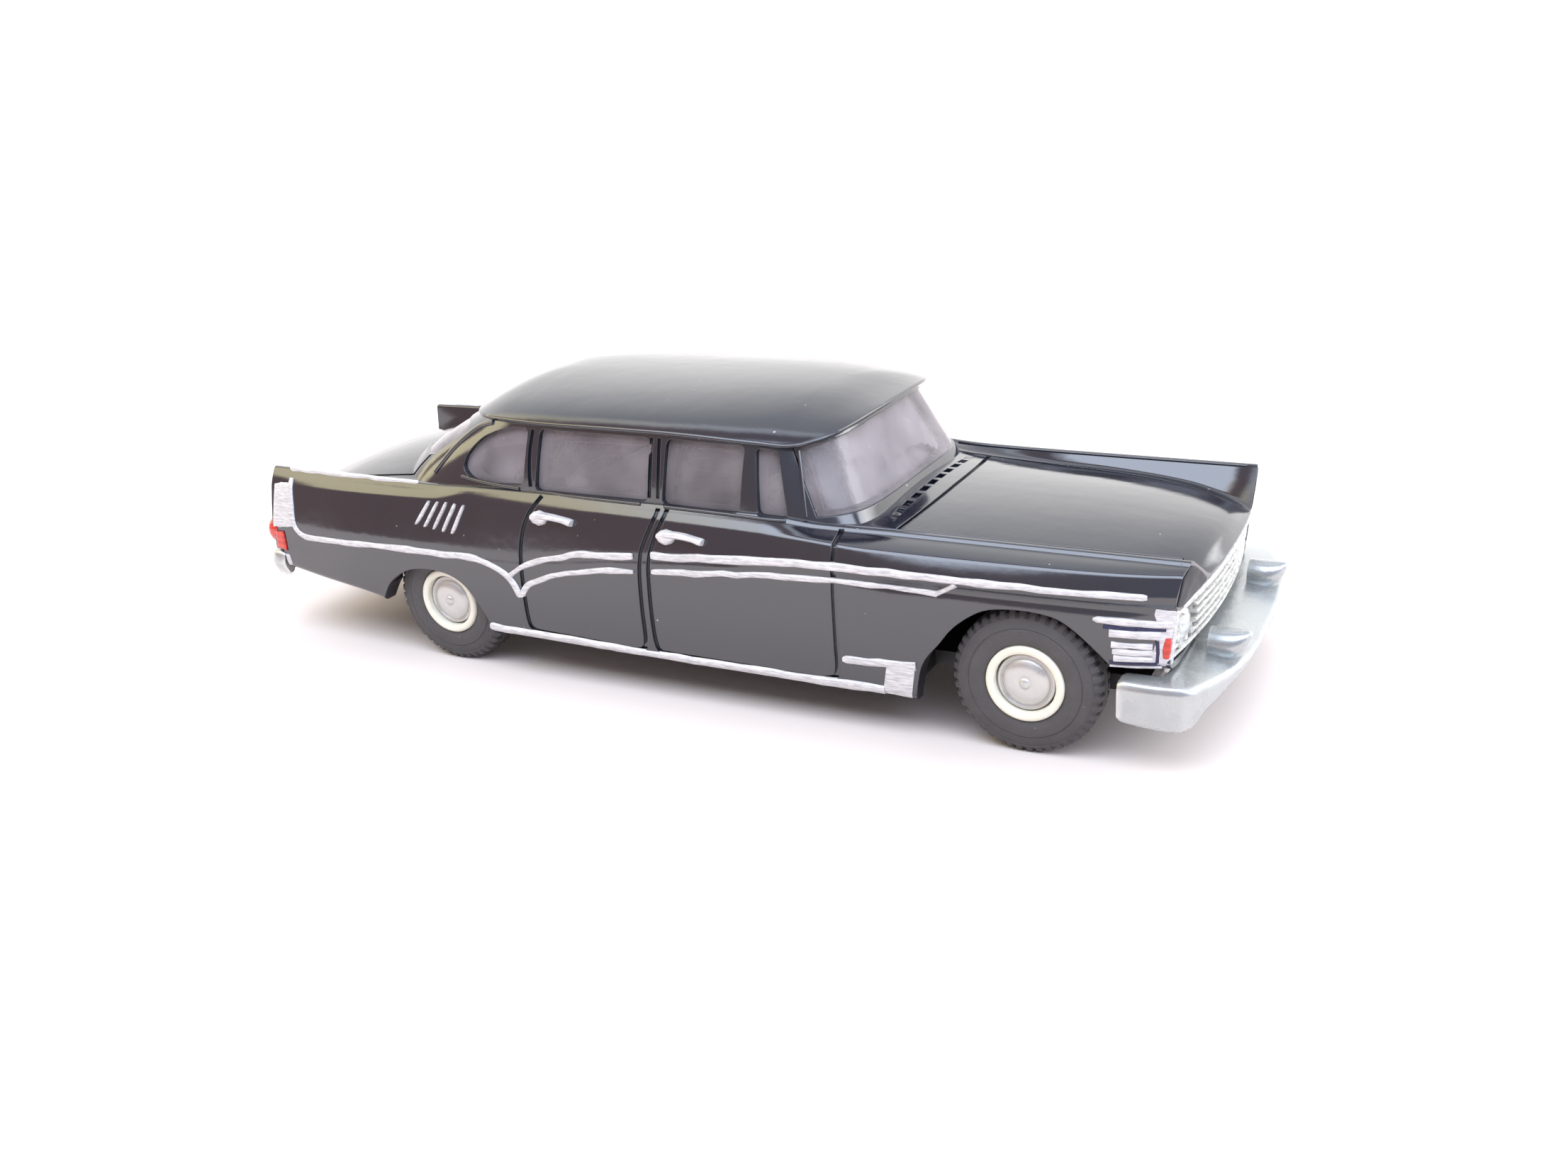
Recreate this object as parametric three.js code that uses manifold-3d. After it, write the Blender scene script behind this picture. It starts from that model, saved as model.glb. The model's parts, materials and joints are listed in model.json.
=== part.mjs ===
// Miniature limousine, scale 1:87, millimetres, +Z up, +X towards the bonnet.
// A hollow moulded body drops over a chassis that carries two free-rolling wheelsets.
// Every length along the car is written from the point midway between the axles, and
// the finished group is slid along X so that its origin is below the middle of its box.

import * as THREE from 'three';
import { mergeVertices } from 'three/addons/utils/BufferGeometryUtils.js';
import Module from 'manifold-3d';

const wasm = await Module();
wasm.setup();

// ---------------------------------------------------------------- driving dimensions
const NOSE_X = 28.9; // front face of the front bumper
const TAIL_X = -34.6; // rear face of the rear bumper
const AXLE_X = 18.68; // axles stand this far ahead of and behind the middle
const TYRE_RADIUS = 3.96;
const TYRE_WIDTH = 2.3;
const WHEEL_FACE_Y = 10.3; // outer face of the wheels
const AXLE_RADIUS = 0.5;
const AXLE_PLAY = 0.06; // radial clearance of an axle in its bore
const RING_OUTER = 2.09; // whitewall ring
const RING_INNER = 1.62;
const CAP_RADIUS = 1.55;
const FIT = 0.05; // gap between pieces that are pressed or glued together
const WALL = 1.15; // body wall
const ROOF_WALL = 0.9;
const GLASS = 0.55; // wall of the clear moulding
const LEVEL_BASE_Z = 10.3; // where the greenhouse starts inside the body

// ---------------------------------------------------------------- small maths helpers
const lerp = (a, b, t) => a + (b - a) * t;
const clamp = (v, lo, hi) => Math.min(hi, Math.max(lo, v));

// Smooth curve through a few hand-chosen points [x, value].
function curve(points) {
  const n = points.length;
  const slope = points.map((p, i) => {
    const a = points[Math.max(0, i - 1)];
    const b = points[Math.min(n - 1, i + 1)];
    return (b[1] - a[1]) / (b[0] - a[0]);
  });
  return (x) => {
    if (x <= points[0][0]) return points[0][1];
    if (x >= points[n - 1][0]) return points[n - 1][1];
    let i = 0;
    while (x > points[i + 1][0]) i += 1;
    const h = points[i + 1][0] - points[i][0];
    const t = (x - points[i][0]) / h;
    const value = points[i][1] * (1 + 2 * t) * (1 - t) ** 2 + points[i + 1][1] * t * t * (3 - 2 * t);
    return value + h * (slope[i] * t * (1 - t) ** 2 - slope[i + 1] * t * t * (1 - t));
  };
}

// ---------------------------------------------------------------- solids
function solidFrom(geometry) {
  const bare = geometry.clone();
  bare.deleteAttribute('normal');
  bare.deleteAttribute('uv');
  const merged = mergeVertices(bare, 1e-4);
  const vertProperties = new Float32Array(merged.attributes.position.array);
  const triVerts = new Uint32Array(merged.index.array);
  return new wasm.Manifold(new wasm.Mesh({ numProp: 3, vertProperties, triVerts }));
}

function geometryFrom(solid) {
  const mesh = solid.getMesh();
  const geometry = new THREE.BufferGeometry();
  geometry.setAttribute('position', new THREE.BufferAttribute(new Float32Array(mesh.vertProperties), 3));
  geometry.setIndex(new THREE.BufferAttribute(new Uint32Array(mesh.triVerts), 1));
  return geometry;
}

// A closed skin over rings of equal length; the two end rings are capped in the plane given.
function loft(rings, capAxes) {
  const count = rings[0].length;
  const positions = rings.flat(2);
  const index = [];
  for (let r = 0; r < rings.length - 1; r += 1) {
    for (let i = 0; i < count; i += 1) {
      const a = r * count + i;
      const b = r * count + ((i + 1) % count);
      index.push(a, b, b + count, a, b + count, a + count);
    }
  }
  const cap = (ring, start, flip) => {
    const flat = ring.map((p) => new THREE.Vector2(p[capAxes[0]], p[capAxes[1]]));
    const reversed = THREE.ShapeUtils.isClockWise(flat);
    const order = reversed ? [...flat.keys()].reverse() : [...flat.keys()];
    const faces = THREE.ShapeUtils.triangulateShape(order.map((k) => flat[k]), []);
    for (const [a, b, c] of faces) {
      const face = [order[a], order[b], order[c]].map((k) => k + start);
      if (reversed !== flip) face.reverse();
      index.push(...face);
    }
  };
  cap(rings[0], 0, true);
  cap(rings[rings.length - 1], (rings.length - 1) * count, false);
  const volume = signedVolume(positions, index);
  if (volume < 0) index.reverse();
  const geometry = new THREE.BufferGeometry();
  geometry.setAttribute('position', new THREE.Float32BufferAttribute(positions, 3));
  geometry.setIndex(index);
  return solidFrom(geometry);
}

function signedVolume(p, index) {
  let volume = 0;
  for (let i = 0; i < index.length; i += 3) {
    const [a, b, c] = [index[i] * 3, index[i + 1] * 3, index[i + 2] * 3];
    volume += p[a] * (p[b + 1] * p[c + 2] - p[b + 2] * p[c + 1]);
    volume -= p[a + 1] * (p[b] * p[c + 2] - p[b + 2] * p[c]);
    volume += p[a + 2] * (p[b] * p[c + 1] - p[b + 1] * p[c]);
  }
  return volume / 6;
}

// An outline in the X-Z plane pushed across the car from y0 to y1.
function sidePrism(outline, y0, y1) {
  const shape = new THREE.Shape(outline.map(([x, z]) => new THREE.Vector2(x, z)));
  const geometry = new THREE.ExtrudeGeometry(shape, { depth: y1 - y0, bevelEnabled: false });
  geometry.rotateX(Math.PI / 2);
  geometry.translate(0, y1, 0);
  return solidFrom(geometry);
}

// An outline in the X-Y plane pushed up from z0 to z1.
function planPrism(outline, z0, z1) {
  const shape = new THREE.Shape(outline.map(([x, y]) => new THREE.Vector2(x, y)));
  const geometry = new THREE.ExtrudeGeometry(shape, { depth: z1 - z0, bevelEnabled: false });
  geometry.translate(0, 0, z0);
  return solidFrom(geometry);
}

// An outline in the Y-Z plane pushed along the car from x0 to x1.
function frontPrism(outline, x0, x1) {
  const shape = new THREE.Shape(outline.map(([y, z]) => new THREE.Vector2(y, z)));
  const geometry = new THREE.ExtrudeGeometry(shape, { depth: x1 - x0, bevelEnabled: false });
  geometry.rotateX(Math.PI / 2);
  geometry.rotateZ(Math.PI / 2);
  geometry.translate(x0, 0, 0);
  return solidFrom(geometry);
}

function box(x0, x1, y0, y1, z0, z1) {
  const geometry = new THREE.BoxGeometry(x1 - x0, y1 - y0, z1 - z0);
  geometry.translate((x0 + x1) / 2, (y0 + y1) / 2, (z0 + z1) / 2);
  return solidFrom(geometry);
}

// A bar across the car, turned about the Y axis.
function crossBar(radius, y0, y1, x, z, segments = 24) {
  const geometry = new THREE.CylinderGeometry(radius, radius, y1 - y0, segments);
  geometry.translate(x, (y0 + y1) / 2, z);
  return solidFrom(geometry);
}

// A turned piece whose axis lies along X, profile [radius, distance ahead].
function turnedAlongX(profile, x, y, z, segments = 24) {
  const points = profile.map(([r, d]) => new THREE.Vector2(r, d));
  const geometry = new THREE.LatheGeometry(points, segments);
  geometry.rotateZ(-Math.PI / 2);
  geometry.translate(x, y, z);
  return solidFrom(geometry);
}

const mirrorY = (solid) => solid.mirror([0, 1, 0]);
const both = (solid) => solid.add(mirrorY(solid));

// ---------------------------------------------------------------- lower body
// Half-width and height of each long line of the body, against the distance along the car.
const bottomZ = curve([
  [-33, 4.7], [-30, 4.3], [-23.8, 3.55], [-22.8, 2.75], [-15, 2.65], [11, 2.3], [14, 2.3],
  [21.5, 5.1], [22.5, 5.3], [26, 5.35],
]);
const sideW = curve([
  [-33, 9.75], [-30, 10.0], [-26, 10.35], [-19, 10.65], [-8, 10.8], [5, 10.8], [14, 10.65],
  [21, 10.45], [24, 10.15], [26, 9.6],
]);
const spearZ = curve([[-33, 7.3], [-17, 7.4], [-12, 7.5], [-6, 8.2], [0, 8.7], [8, 9.0], [26, 8.9]]);
const bulgeW = curve([
  [-33, 9.7], [-26, 10.25], [-16, 10.55], [-6, 10.65], [6, 10.65], [14, 10.7], [21, 10.5],
  [24, 10.2], [26, 9.75],
]);
const creaseW = curve([
  [-33, 9.25], [-26, 9.75], [-16, 10.05], [-6, 10.15], [6, 10.15], [14, 10.1], [21, 9.95],
  [24, 9.7], [26, 9.35],
]);
const creaseZ = curve([[-33, 10.2], [-16, 10.55], [-6, 10.75], [6, 10.6], [10, 10.4], [26, 10.3]]);
const ridgeW = curve([
  [-33, 8.35], [-26, 8.7], [-19, 9.05], [-16, 9.3], [4, 9.3], [8, 8.75], [11, 8.5], [26, 8.4],
]);
const ridgeZ = curve([
  [-33, 11.25], [-19, 11.3], [-16, 11.45], [4, 11.45], [7, 11.05], [11, 10.9], [26, 10.75],
]);
const valleyW = curve([
  [-33, 7.7], [-26, 7.9], [-19, 8.2], [5, 8.3], [10, 7.6], [20, 7.4], [23, 7.15], [24.5, 6.7],
  [25.3, 6.1], [26, 5.3],
]);
const valleyZ = curve([
  [-33, 8.9], [-30.5, 9.8], [-28, 10.4], [-24, 10.8], [-20, 10.9], [8, 10.7], [10, 10.5],
  [15, 10.15], [19, 9.95], [22.5, 9.6], [24.5, 9.2], [26, 8.95],
]);
const crownZ = curve([
  [-33, 9.3], [-30.6, 10.4], [-28, 11.25], [-25, 11.85], [-22, 12.1], [-18, 11.6], [8, 11.1],
  [11.2, 11.0], [19, 10.75], [23, 10.35], [24.6, 10.05], [25.4, 9.7], [26, 9.05],
]);
const BODY_REAR = -33; // nominal ends: the end faces bow beyond them
const BODY_FRONT = 26;
const END_BLEND = 7; // length over which the end bow fades out

// The front and rear faces bow out in plan, and the front one leans forward at the top.
const noseX = (w, z) => 25.75 + 0.85 * (1 - (w / 9.5) ** 2) + 0.095 * (z - 5.4);
const tailX = (w) => -33 - 0.6 * (1 - (w / 9.5) ** 2);

function bowed(x, w, z) {
  if (x > BODY_FRONT - END_BLEND) {
    const start = BODY_FRONT - END_BLEND;
    return start + ((x - start) * (noseX(w, z) - start)) / END_BLEND;
  }
  if (x < BODY_REAR + END_BLEND) {
    const start = BODY_REAR + END_BLEND;
    return start + ((start - x) * (tailX(w) - start)) / END_BLEND;
  }
  return x;
}

// Half section of the outer skin, from the bottom centre to the top centre.
function outerHalf(x) {
  const w = sideW(x);
  const zb = bottomZ(x);
  const zs = spearZ(x);
  const points = [
    [w - 0.9, zb],
    [w - 0.25, zb + 0.12],
    [w - 0.05, zb + 0.7],
    [w, Math.max(zb + 1.4, 6)],
    [w - 0.12, zs - 0.15],
    [bulgeW(x), zs + 0.45],
    [lerp(bulgeW(x), creaseW(x), 0.35), lerp(zs + 0.45, creaseZ(x), 0.6)],
    [creaseW(x), creaseZ(x)],
    [ridgeW(x), ridgeZ(x)],
    [ridgeW(x) - 0.3, ridgeZ(x)],
    [valleyW(x), valleyZ(x)],
  ];
  for (const t of [0.75, 0.5, 0.25]) {
    points.push([valleyW(x) * t, lerp(crownZ(x), valleyZ(x), t * t)]);
  }
  points.push([0, crownZ(x)]);
  return points;
}

function ringAt(x, half, place) {
  const right = half.map(([w, z]) => [place(x, w, z), -w, z]);
  const left = half.slice(0, -1).reverse().map(([w, z]) => [place(x, w, z), w, z]);
  return [...right, ...left];
}

function lowerBody() {
  const stations = [-33, -31.5, -30, -28, -26, -24, -22, -20, -18, -16, -12, -8, -4, 0, 4, 6, 8, 9.5, 11];
  stations.push(13, 16, 19, 21, 22.5, 23.7, 24.6, 25.3, 25.7, 26);
  return loft(stations.map((x) => ringAt(x, outerHalf(x), bowed)), [1, 2]);
}

// The space inside the lower body, open at the bottom.
function lowerCavity() {
  const half = (x) => {
    const w = Math.min(sideW(x), bulgeW(x)) - WALL;
    return [
      [w, -1],
      [w, spearZ(x)],
      [creaseW(x) - WALL, creaseZ(x) - 0.6],
      [valleyW(x) - 0.6, valleyZ(x) - WALL],
      [valleyW(x) * 0.5, lerp(crownZ(x), valleyZ(x), 0.25) - WALL],
      [0, crownZ(x) - WALL],
    ];
  };
  const stations = [-31.6, -29, -26, -23, -20, -16, -10, -4, 2, 6, 10, 14, 18, 21, 23, 24.4];
  return loft(stations.map((x) => ringAt(x, half(x), (s) => s)), [1, 2]);
}

// ---------------------------------------------------------------- greenhouse
// Each meridian climbs from the base ring to the rim, steps out round the drip rail and
// the peak over the windscreen, and crosses the roof to a spine on the centre plane.
const MID_X = -5;
const SPINE_REAR = -12.5;
const SPINE_FRONT = 4.2;
const GREENHOUSE_TURN = 44;
const RAIL_HEIGHT = 0.26;
const REAR_BULGE = 1.2;
const SIDE_BULGE = 0.12;
const BASE_RING = { front: 9.55, rear: -24.9, width: 9.45, frontPower: 6, rearPower: 4.2 };
const RIM_RING = { front: 7.3, rear: -18.5, width: 8.5, frontPower: 4.4, rearPower: 3.6 };
const NO_INSET = { side: 0, front: 0, rear: 0, top: 0 };
const CAVITY_INSET = { side: WALL, front: 0.6, rear: 0.75, top: ROOF_WALL };
const roofCrownZ = curve([
  [-18.6, 15.45], [-16, 16.35], [-13, 16.9], [-9, 17.08], [-4, 17.1], [1, 17.03], [5, 16.72], [8.1, 16.08],
]);
const sideRimZ = curve([[-18.5, 14.95], [-15, 15.2], [-8, 15.3], [-2, 15.25], [2.5, 15.0], [5.5, 14.7]]);
const frontRimZ = (y) => 15.72 - Math.abs(y / 8.3) ** 2;
const overhang = curve([[-18, 0.03], [-14, 0.1], [-10, 0.22], [3, 0.24], [5.5, 0.5], [7.4, 0.75]]);

function superPoint(ring, angle, inset) {
  const c = Math.cos(angle);
  const s = Math.sin(angle);
  const reach = c > 0 ? ring.front - inset.front - MID_X : MID_X - ring.rear - inset.rear;
  const power = c > 0 ? ring.frontPower : ring.rearPower;
  return [
    MID_X + reach * Math.sign(c) * Math.abs(c) ** (2 / power),
    (ring.width - inset.side) * Math.sign(s) * Math.abs(s) ** (2 / power),
  ];
}

function rimHeightAt(angle) {
  const [x, y] = superPoint(RIM_RING, angle, NO_INSET);
  const t = clamp((x - 3.5) / 3.5, 0, 1);
  return lerp(sideRimZ(x), frontRimZ(y), t * t * (3 - 2 * t));
}

function wallPoint(angle, inset, t) {
  const base = superPoint(BASE_RING, angle, inset);
  const rim = superPoint(RIM_RING, angle, inset);
  const rearness = Math.max(0, -Math.cos(angle)) ** 2;
  const bulge = Math.sin(Math.PI * t);
  return [
    lerp(base[0], rim[0], t) - REAR_BULGE * rearness * bulge,
    lerp(base[1], rim[1], t) + SIDE_BULGE * Math.sin(angle) * bulge,
    lerp(LEVEL_BASE_Z, rimHeightAt(angle) - inset.top, t),
  ];
}

function meridian(angle, inset, footZ) {
  const points = [0, 0.2, 0.4, 0.6, 0.8, 1].map((t) => wallPoint(angle, inset, t));
  if (footZ !== undefined) points.unshift([points[0][0], points[0][1], footZ]);
  const rim = points[points.length - 1];
  let edge = rim;
  if (inset.top === 0) {
    const out = overhang(rim[0]);
    const spine = clamp(rim[0], SPINE_REAR, SPINE_FRONT);
    const length = Math.hypot(rim[0] - spine, rim[1]);
    const x = rim[0] + (out * (rim[0] - spine)) / length;
    const y = rim[1] + (out * rim[1]) / length;
    points.push([x, y, rim[2] + 0.01]);
    edge = [x, y, rim[2] + RAIL_HEIGHT];
    points.push(edge);
  }
  const foot = clamp(edge[0], SPINE_REAR, SPINE_FRONT);
  for (const rho of [0.96, 0.85, 0.65, 0.4, 0.05]) {
    const x = lerp(foot, edge[0], rho);
    points.push([x, edge[1] * rho, lerp(roofCrownZ(x) - inset.top, edge[2], rho ** 2.3)]);
  }
  return points;
}

const turnAngle = (i) => (2 * Math.PI * (i + 0.5)) / GREENHOUSE_TURN;

function greenhouse(inset, footZ) {
  const meridians = [];
  for (let i = 0; i < GREENHOUSE_TURN; i += 1) meridians.push(meridian(turnAngle(i), inset, footZ));
  return loft(meridians[0].map((_, level) => meridians.map((m) => m[level])), [0, 1]);
}

// A slice of the greenhouse between two levels of its wall, swollen past the skin.
function wallSlice(t0, t1) {
  const swollen = { side: -1, front: -1, rear: -1, top: 0 };
  const rings = [t0, lerp(t0, t1, 0.5), t1].map((t) => {
    const ring = [];
    for (let i = 0; i < GREENHOUSE_TURN; i += 1) ring.push(wallPoint(turnAngle(i), swollen, t));
    return ring;
  });
  return loft(rings, [0, 1]);
}

// ---------------------------------------------------------------- openings in the body
const QUARTER_WINDOW = [
  [-17.05, 12.3], [-16.4, 11.8], [-15.3, 11.6], [-12.2, 11.75], [-11.9, 15.05], [-12.95, 15.02],
  [-14.4, 14.7], [-15.65, 14.2], [-16.5, 13.5], [-16.98, 12.85],
];
const REAR_DOOR_WINDOW = [[-11.35, 11.5], [-3.55, 11.5], [-3.4, 15.05], [-11.05, 15.08]];
const FRONT_DOOR_WINDOW = [[-2.6, 11.4], [2.35, 11.3], [2.5, 14.9], [-2.35, 15.05]];
const VENT_WINDOW = [[3.45, 11.3], [5.2, 11.2], [4.35, 14.6], [3.1, 14.8]];
const SCREEN_SIDE = [[6.8, 10], [14, 10], [14, 20], [4.36, 20]]; // the windscreen lies ahead of this line
const FRONT_ARCH = [
  [12.75, -1], [12.8, 2.4], [13.3, 4.45], [14.3, 5.8], [15, 6.7], [16, 7.6], [17, 7.95], [18.68, 8.08],
  [20.2, 7.9], [21, 7.5], [22, 6.7], [22.9, 5.7], [23.25, 4.9], [23.3, -1],
];
const REAR_ARCH = [
  [-24.2, -1], [-23.8, 3.4], [-22.8, 4.8], [-22, 5.5], [-21, 6], [-20, 6.2], [-19, 6.25], [-18, 6.15],
  [-17, 5.8], [-16.3, 5.2], [-15.3, 3.8], [-15, 3.1], [-14.9, -1],
];
const WELL_INNER_Y = 7.1; // wheel wells reach in this far
const REAR_WHEEL_FACE_Y = 10.0; // the rear wheels stand inside the skirts
const WELL_RADIUS = TYRE_RADIUS + 0.25;
const GRILLE = { back: 24.9, bottom: 5.75, top: 8.45, halfWidth: 9.15 };
const LAMP = { y: 7.3, z: 7.1, radius: 1.05 };
const TAIL_LAMP = { y: 8.9, z: 7.1, halfWidth: 0.85, halfHeight: 0.95, back: -33.4, front: -32.6 };
const BUMPER_NOTCH_X = -32.3;
const BUMPER_NOTCH_Z = 6.0;

function ellipse(cy, cz, ry, rz, segments) {
  const points = [];
  for (let i = 0; i < segments; i += 1) {
    const a = (2 * Math.PI * i) / segments;
    points.push([cy + ry * Math.cos(a), cz + rz * Math.sin(a)]);
  }
  return points;
}

function bodyShell() {
  let shell = lowerBody().add(greenhouse(NO_INSET));
  shell = shell.subtract(lowerCavity()).subtract(greenhouse(CAVITY_INSET, 8.2));
  for (const outline of [QUARTER_WINDOW, REAR_DOOR_WINDOW, FRONT_DOOR_WINDOW, VENT_WINDOW]) {
    shell = shell.subtract(sidePrism(outline, -12, 12));
  }
  shell = shell.subtract(wallSlice(0.2, 0.93).intersect(sidePrism(SCREEN_SIDE, -12, 12)));
  shell = shell.subtract(wallSlice(0.45, 0.9).intersect(box(-30, -17.6, -7.3, 7.3, 0, 20)));
  for (const outline of [FRONT_ARCH, REAR_ARCH]) {
    shell = shell.subtract(both(sidePrism(outline, WELL_INNER_Y, 12)));
  }
  const well = crossBar(WELL_RADIUS, WELL_INNER_Y, REAR_WHEEL_FACE_Y + 0.14, -AXLE_X, TYRE_RADIUS, 40);
  shell = shell.subtract(both(well));
  const { back, bottom, top, halfWidth } = GRILLE;
  shell = shell.subtract(box(back, 28, -halfWidth, halfWidth, bottom, top));
  shell = shell.subtract(box(-36, BUMPER_NOTCH_X, -12, 12, 0, BUMPER_NOTCH_Z));
  const lamp = frontPrism(
    ellipse(TAIL_LAMP.y, TAIL_LAMP.z, TAIL_LAMP.halfWidth + FIT, TAIL_LAMP.halfHeight + FIT, 24),
    TAIL_LAMP.back - 1, TAIL_LAMP.front + FIT);
  return shell.subtract(both(lamp));
}

// ---------------------------------------------------------------- glazing and cabin
const growInset = (by) => ({
  side: CAVITY_INSET.side + by,
  front: CAVITY_INSET.front + by,
  rear: CAVITY_INSET.rear + by,
  top: CAVITY_INSET.top + by,
});

function windowGlazing() {
  const outer = greenhouse(growInset(FIT));
  const inner = greenhouse(growInset(FIT + GLASS), 9);
  return outer.subtract(inner).intersect(box(-30, 12, -12, 12, 10.6, 20));
}

const TUB = { floor: 4.3, rear: -14.2, front: 9.0, halfWidth: 8.9, wall: 0.5 };
const BENCH_HALF_WIDTH = 8.1;

function bench(x0, x1, backTop, halfWidth) {
  const outline = [
    [x0, TUB.floor], [x1, TUB.floor], [x1, 7.2], [x1 - 0.35, 7.6], [x0 + 1.5, 7.3], [x0 + 0.8, backTop],
    [x0 + 0.4, backTop + 0.3], [x0 - 0.2, backTop + 0.2], [x0 - 0.5, backTop - 0.4],
  ];
  return sidePrism(outline, -halfWidth, halfWidth);
}

function interiorTub() {
  const { floor, rear, front, halfWidth, wall } = TUB;
  let tub = box(rear, front, -halfWidth, halfWidth, floor - 0.6, floor + 0.05);
  tub = tub.add(box(rear, front, -halfWidth, -halfWidth + wall, floor - 0.6, 8.4));
  tub = tub.add(box(rear, front, halfWidth - wall, halfWidth, floor - 0.6, 8.4));
  tub = tub.add(bench(-12.6, -8, 10.0, BENCH_HALF_WIDTH));
  tub = tub.add(bench(-1.2, 2.6, 9.8, BENCH_HALF_WIDTH));
  const dash = [[7.0, 7.4], [8.7, 4.2], [8.7, 8.8], [8.2, 9.25], [7.2, 9.1], [6.8, 8.6]];
  return tub.add(sidePrism(dash, -BENCH_HALF_WIDTH, BENCH_HALF_WIDTH));
}

const WHEEL_HUB = { x: 5.9, y: 3.9, z: 9.4, tilt: 0.95 };

function steeringWheel() {
  let wheel = solidFrom(new THREE.TorusGeometry(1.5, 0.16, 8, 28));
  wheel = wheel.add(solidFrom(new THREE.BoxGeometry(3, 0.26, 0.18)));
  for (const [radius, length, z] of [[0.32, 0.4, 0], [0.2, 0.8, -0.45]]) {
    const turned = new THREE.CylinderGeometry(radius, radius, length, 14);
    turned.rotateX(Math.PI / 2);
    turned.translate(0, 0, z);
    wheel = wheel.add(solidFrom(turned));
  }
  return wheel;
}

function rearMirror() {
  return box(4.95, 5.2, -0.9, 0.9, 14.15, 14.6).add(box(5, 5.15, -0.12, 0.12, 14.45, 14.95));
}

// ---------------------------------------------------------------- chassis
const CHASSIS = { bottom: 2.75, top: 3.65, rear: -31.2, front: 24.2, wide: 9.35, narrow: 6.85 };
// Behind the rear axle the plate rises.
const REAR_STEP = { x: -22.6, bottom: 4.75, top: 5.5, halfWidth: 8.4 };
const WELL_HALF = 4.75; // chassis is narrow this far either side of an axle
const BLOCK = { halfLength: 1.5, halfWidth: 6.7, top: 5.3 };

function chassisPlate() {
  const { bottom, top, rear, front, wide, narrow } = CHASSIS;
  const frontStep = AXLE_X - WELL_HALF - 1.4;
  const right = [
    [REAR_STEP.x - top + bottom, -narrow], [-AXLE_X + WELL_HALF, -narrow], [-AXLE_X + WELL_HALF, -wide],
    [frontStep, -wide], [frontStep, -narrow], [front, -narrow],
  ];
  const left = right.slice().reverse().map(([x, y]) => [x, -y]);
  let plate = planPrism([...right, ...left], bottom, top);
  const step = REAR_STEP;
  plate = plate.add(box(step.x - top + bottom, step.x, -narrow, narrow, bottom, step.top));
  plate = plate.add(box(rear, step.x, -narrow, narrow, step.bottom, step.top));
  const wideEnd = -AXLE_X - WELL_HALF - 0.2;
  plate = plate.add(box(rear, wideEnd, -step.halfWidth, step.halfWidth, step.bottom, step.top));
  const axles = [-AXLE_X, AXLE_X];
  for (const x of axles) {
    const { halfLength, halfWidth, top: blockTop } = BLOCK;
    plate = plate.add(box(x - halfLength, x + halfLength, -halfWidth, halfWidth, bottom, blockTop));
  }
  for (const x of axles) {
    plate = plate.subtract(crossBar(AXLE_RADIUS + AXLE_PLAY, -12, 12, x, TYRE_RADIUS, 32));
  }
  return plate;
}

// ---------------------------------------------------------------- bumpers, grille and lamps
// A bar of constant section swept round a plan path, mirrored to the other side. Section
// points are [distance outwards, height]; the path runs from the side to the centre.
function wrapBar(path, section) {
  const full = [...path, ...path.slice(0, -1).reverse().map(([x, y]) => [x, -y])];
  const rings = full.map(([x, y], i) => {
    const before = full[Math.max(0, i - 1)];
    const after = full[Math.min(full.length - 1, i + 1)];
    const along = [after[0] - before[0], after[1] - before[1]];
    const length = Math.hypot(along[0], along[1]);
    const side = Math.sign(x);
    const normal = [(side * Math.abs(along[1])) / length, (Math.sign(y) * Math.abs(along[0])) / length];
    return section.map(([out, z]) => [x + normal[0] * out, y + normal[1] * out, z]);
  });
  const bar = loft(rings, [0, 2]);
  return bar;
}

// The front bumper is a tall plate at each side that turns into a low shelf across the nose.
// Each station: outer x and y, inner x and y, heights of the bottom, crease, top and inner top.
const FRONT_BUMPER = [
  [23.5, -10.78, 23.5, -9.5, 2.78, 4.7, 5.05, 5.1],
  [25.2, -10.86, 25.2, -9.5, 2.62, 4.72, 5.06, 5.12],
  [26.6, -10.72, 26.0, -9.4, 2.62, 4.74, 5.06, 5.15],
  [27.2, -10.3, 26.2, -9.1, 2.85, 4.74, 5.03, 5.18],
  [27.6, -9.5, 26.25, -8.6, 3.42, 4.72, 5.0, 5.2],
  [28.0, -8.5, 26.2, -8.0, 3.72, 4.7, 4.95, 5.2],
  [28.5, -6.8, 26.15, -6.6, 4.1, 4.66, 4.86, 5.2],
  [28.75, -5.0, 26.2, -5.0, 4.22, 4.62, 4.8, 5.2],
  [28.9, -2.8, 26.3, -2.8, 4.32, 4.62, 4.78, 5.2],
  [NOSE_X, 0, 26.35, 0, 4.34, 4.62, 4.78, 5.2],
];
const BULLET = {
  y: 5.16,
  top: 6.15,
  profile: [[26.8, 0.8], [27.5, 0.82], [27.9, 0.66], [28.3, 0.44], [28.86, 0.06]], // x, radius
};
const REAR_BUMPER_PATH = [
  [-32.45, -9.95], [-33.2, -9.9], [-33.8, -9.5], [-34.2, -8.4], [-34.4, -6.5], [-34.55, -3.5], [TAIL_X, 0],
];
const REAR_BUMPER_SECTION = [
  [0, 4.9], [-0.15, 5.6], [-0.4, 5.85], [-0.9, 5.85], [-1.0, 5.5], [-1.0, 4.2], [-0.8, 3.95], [-0.4, 4.0],
];

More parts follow.
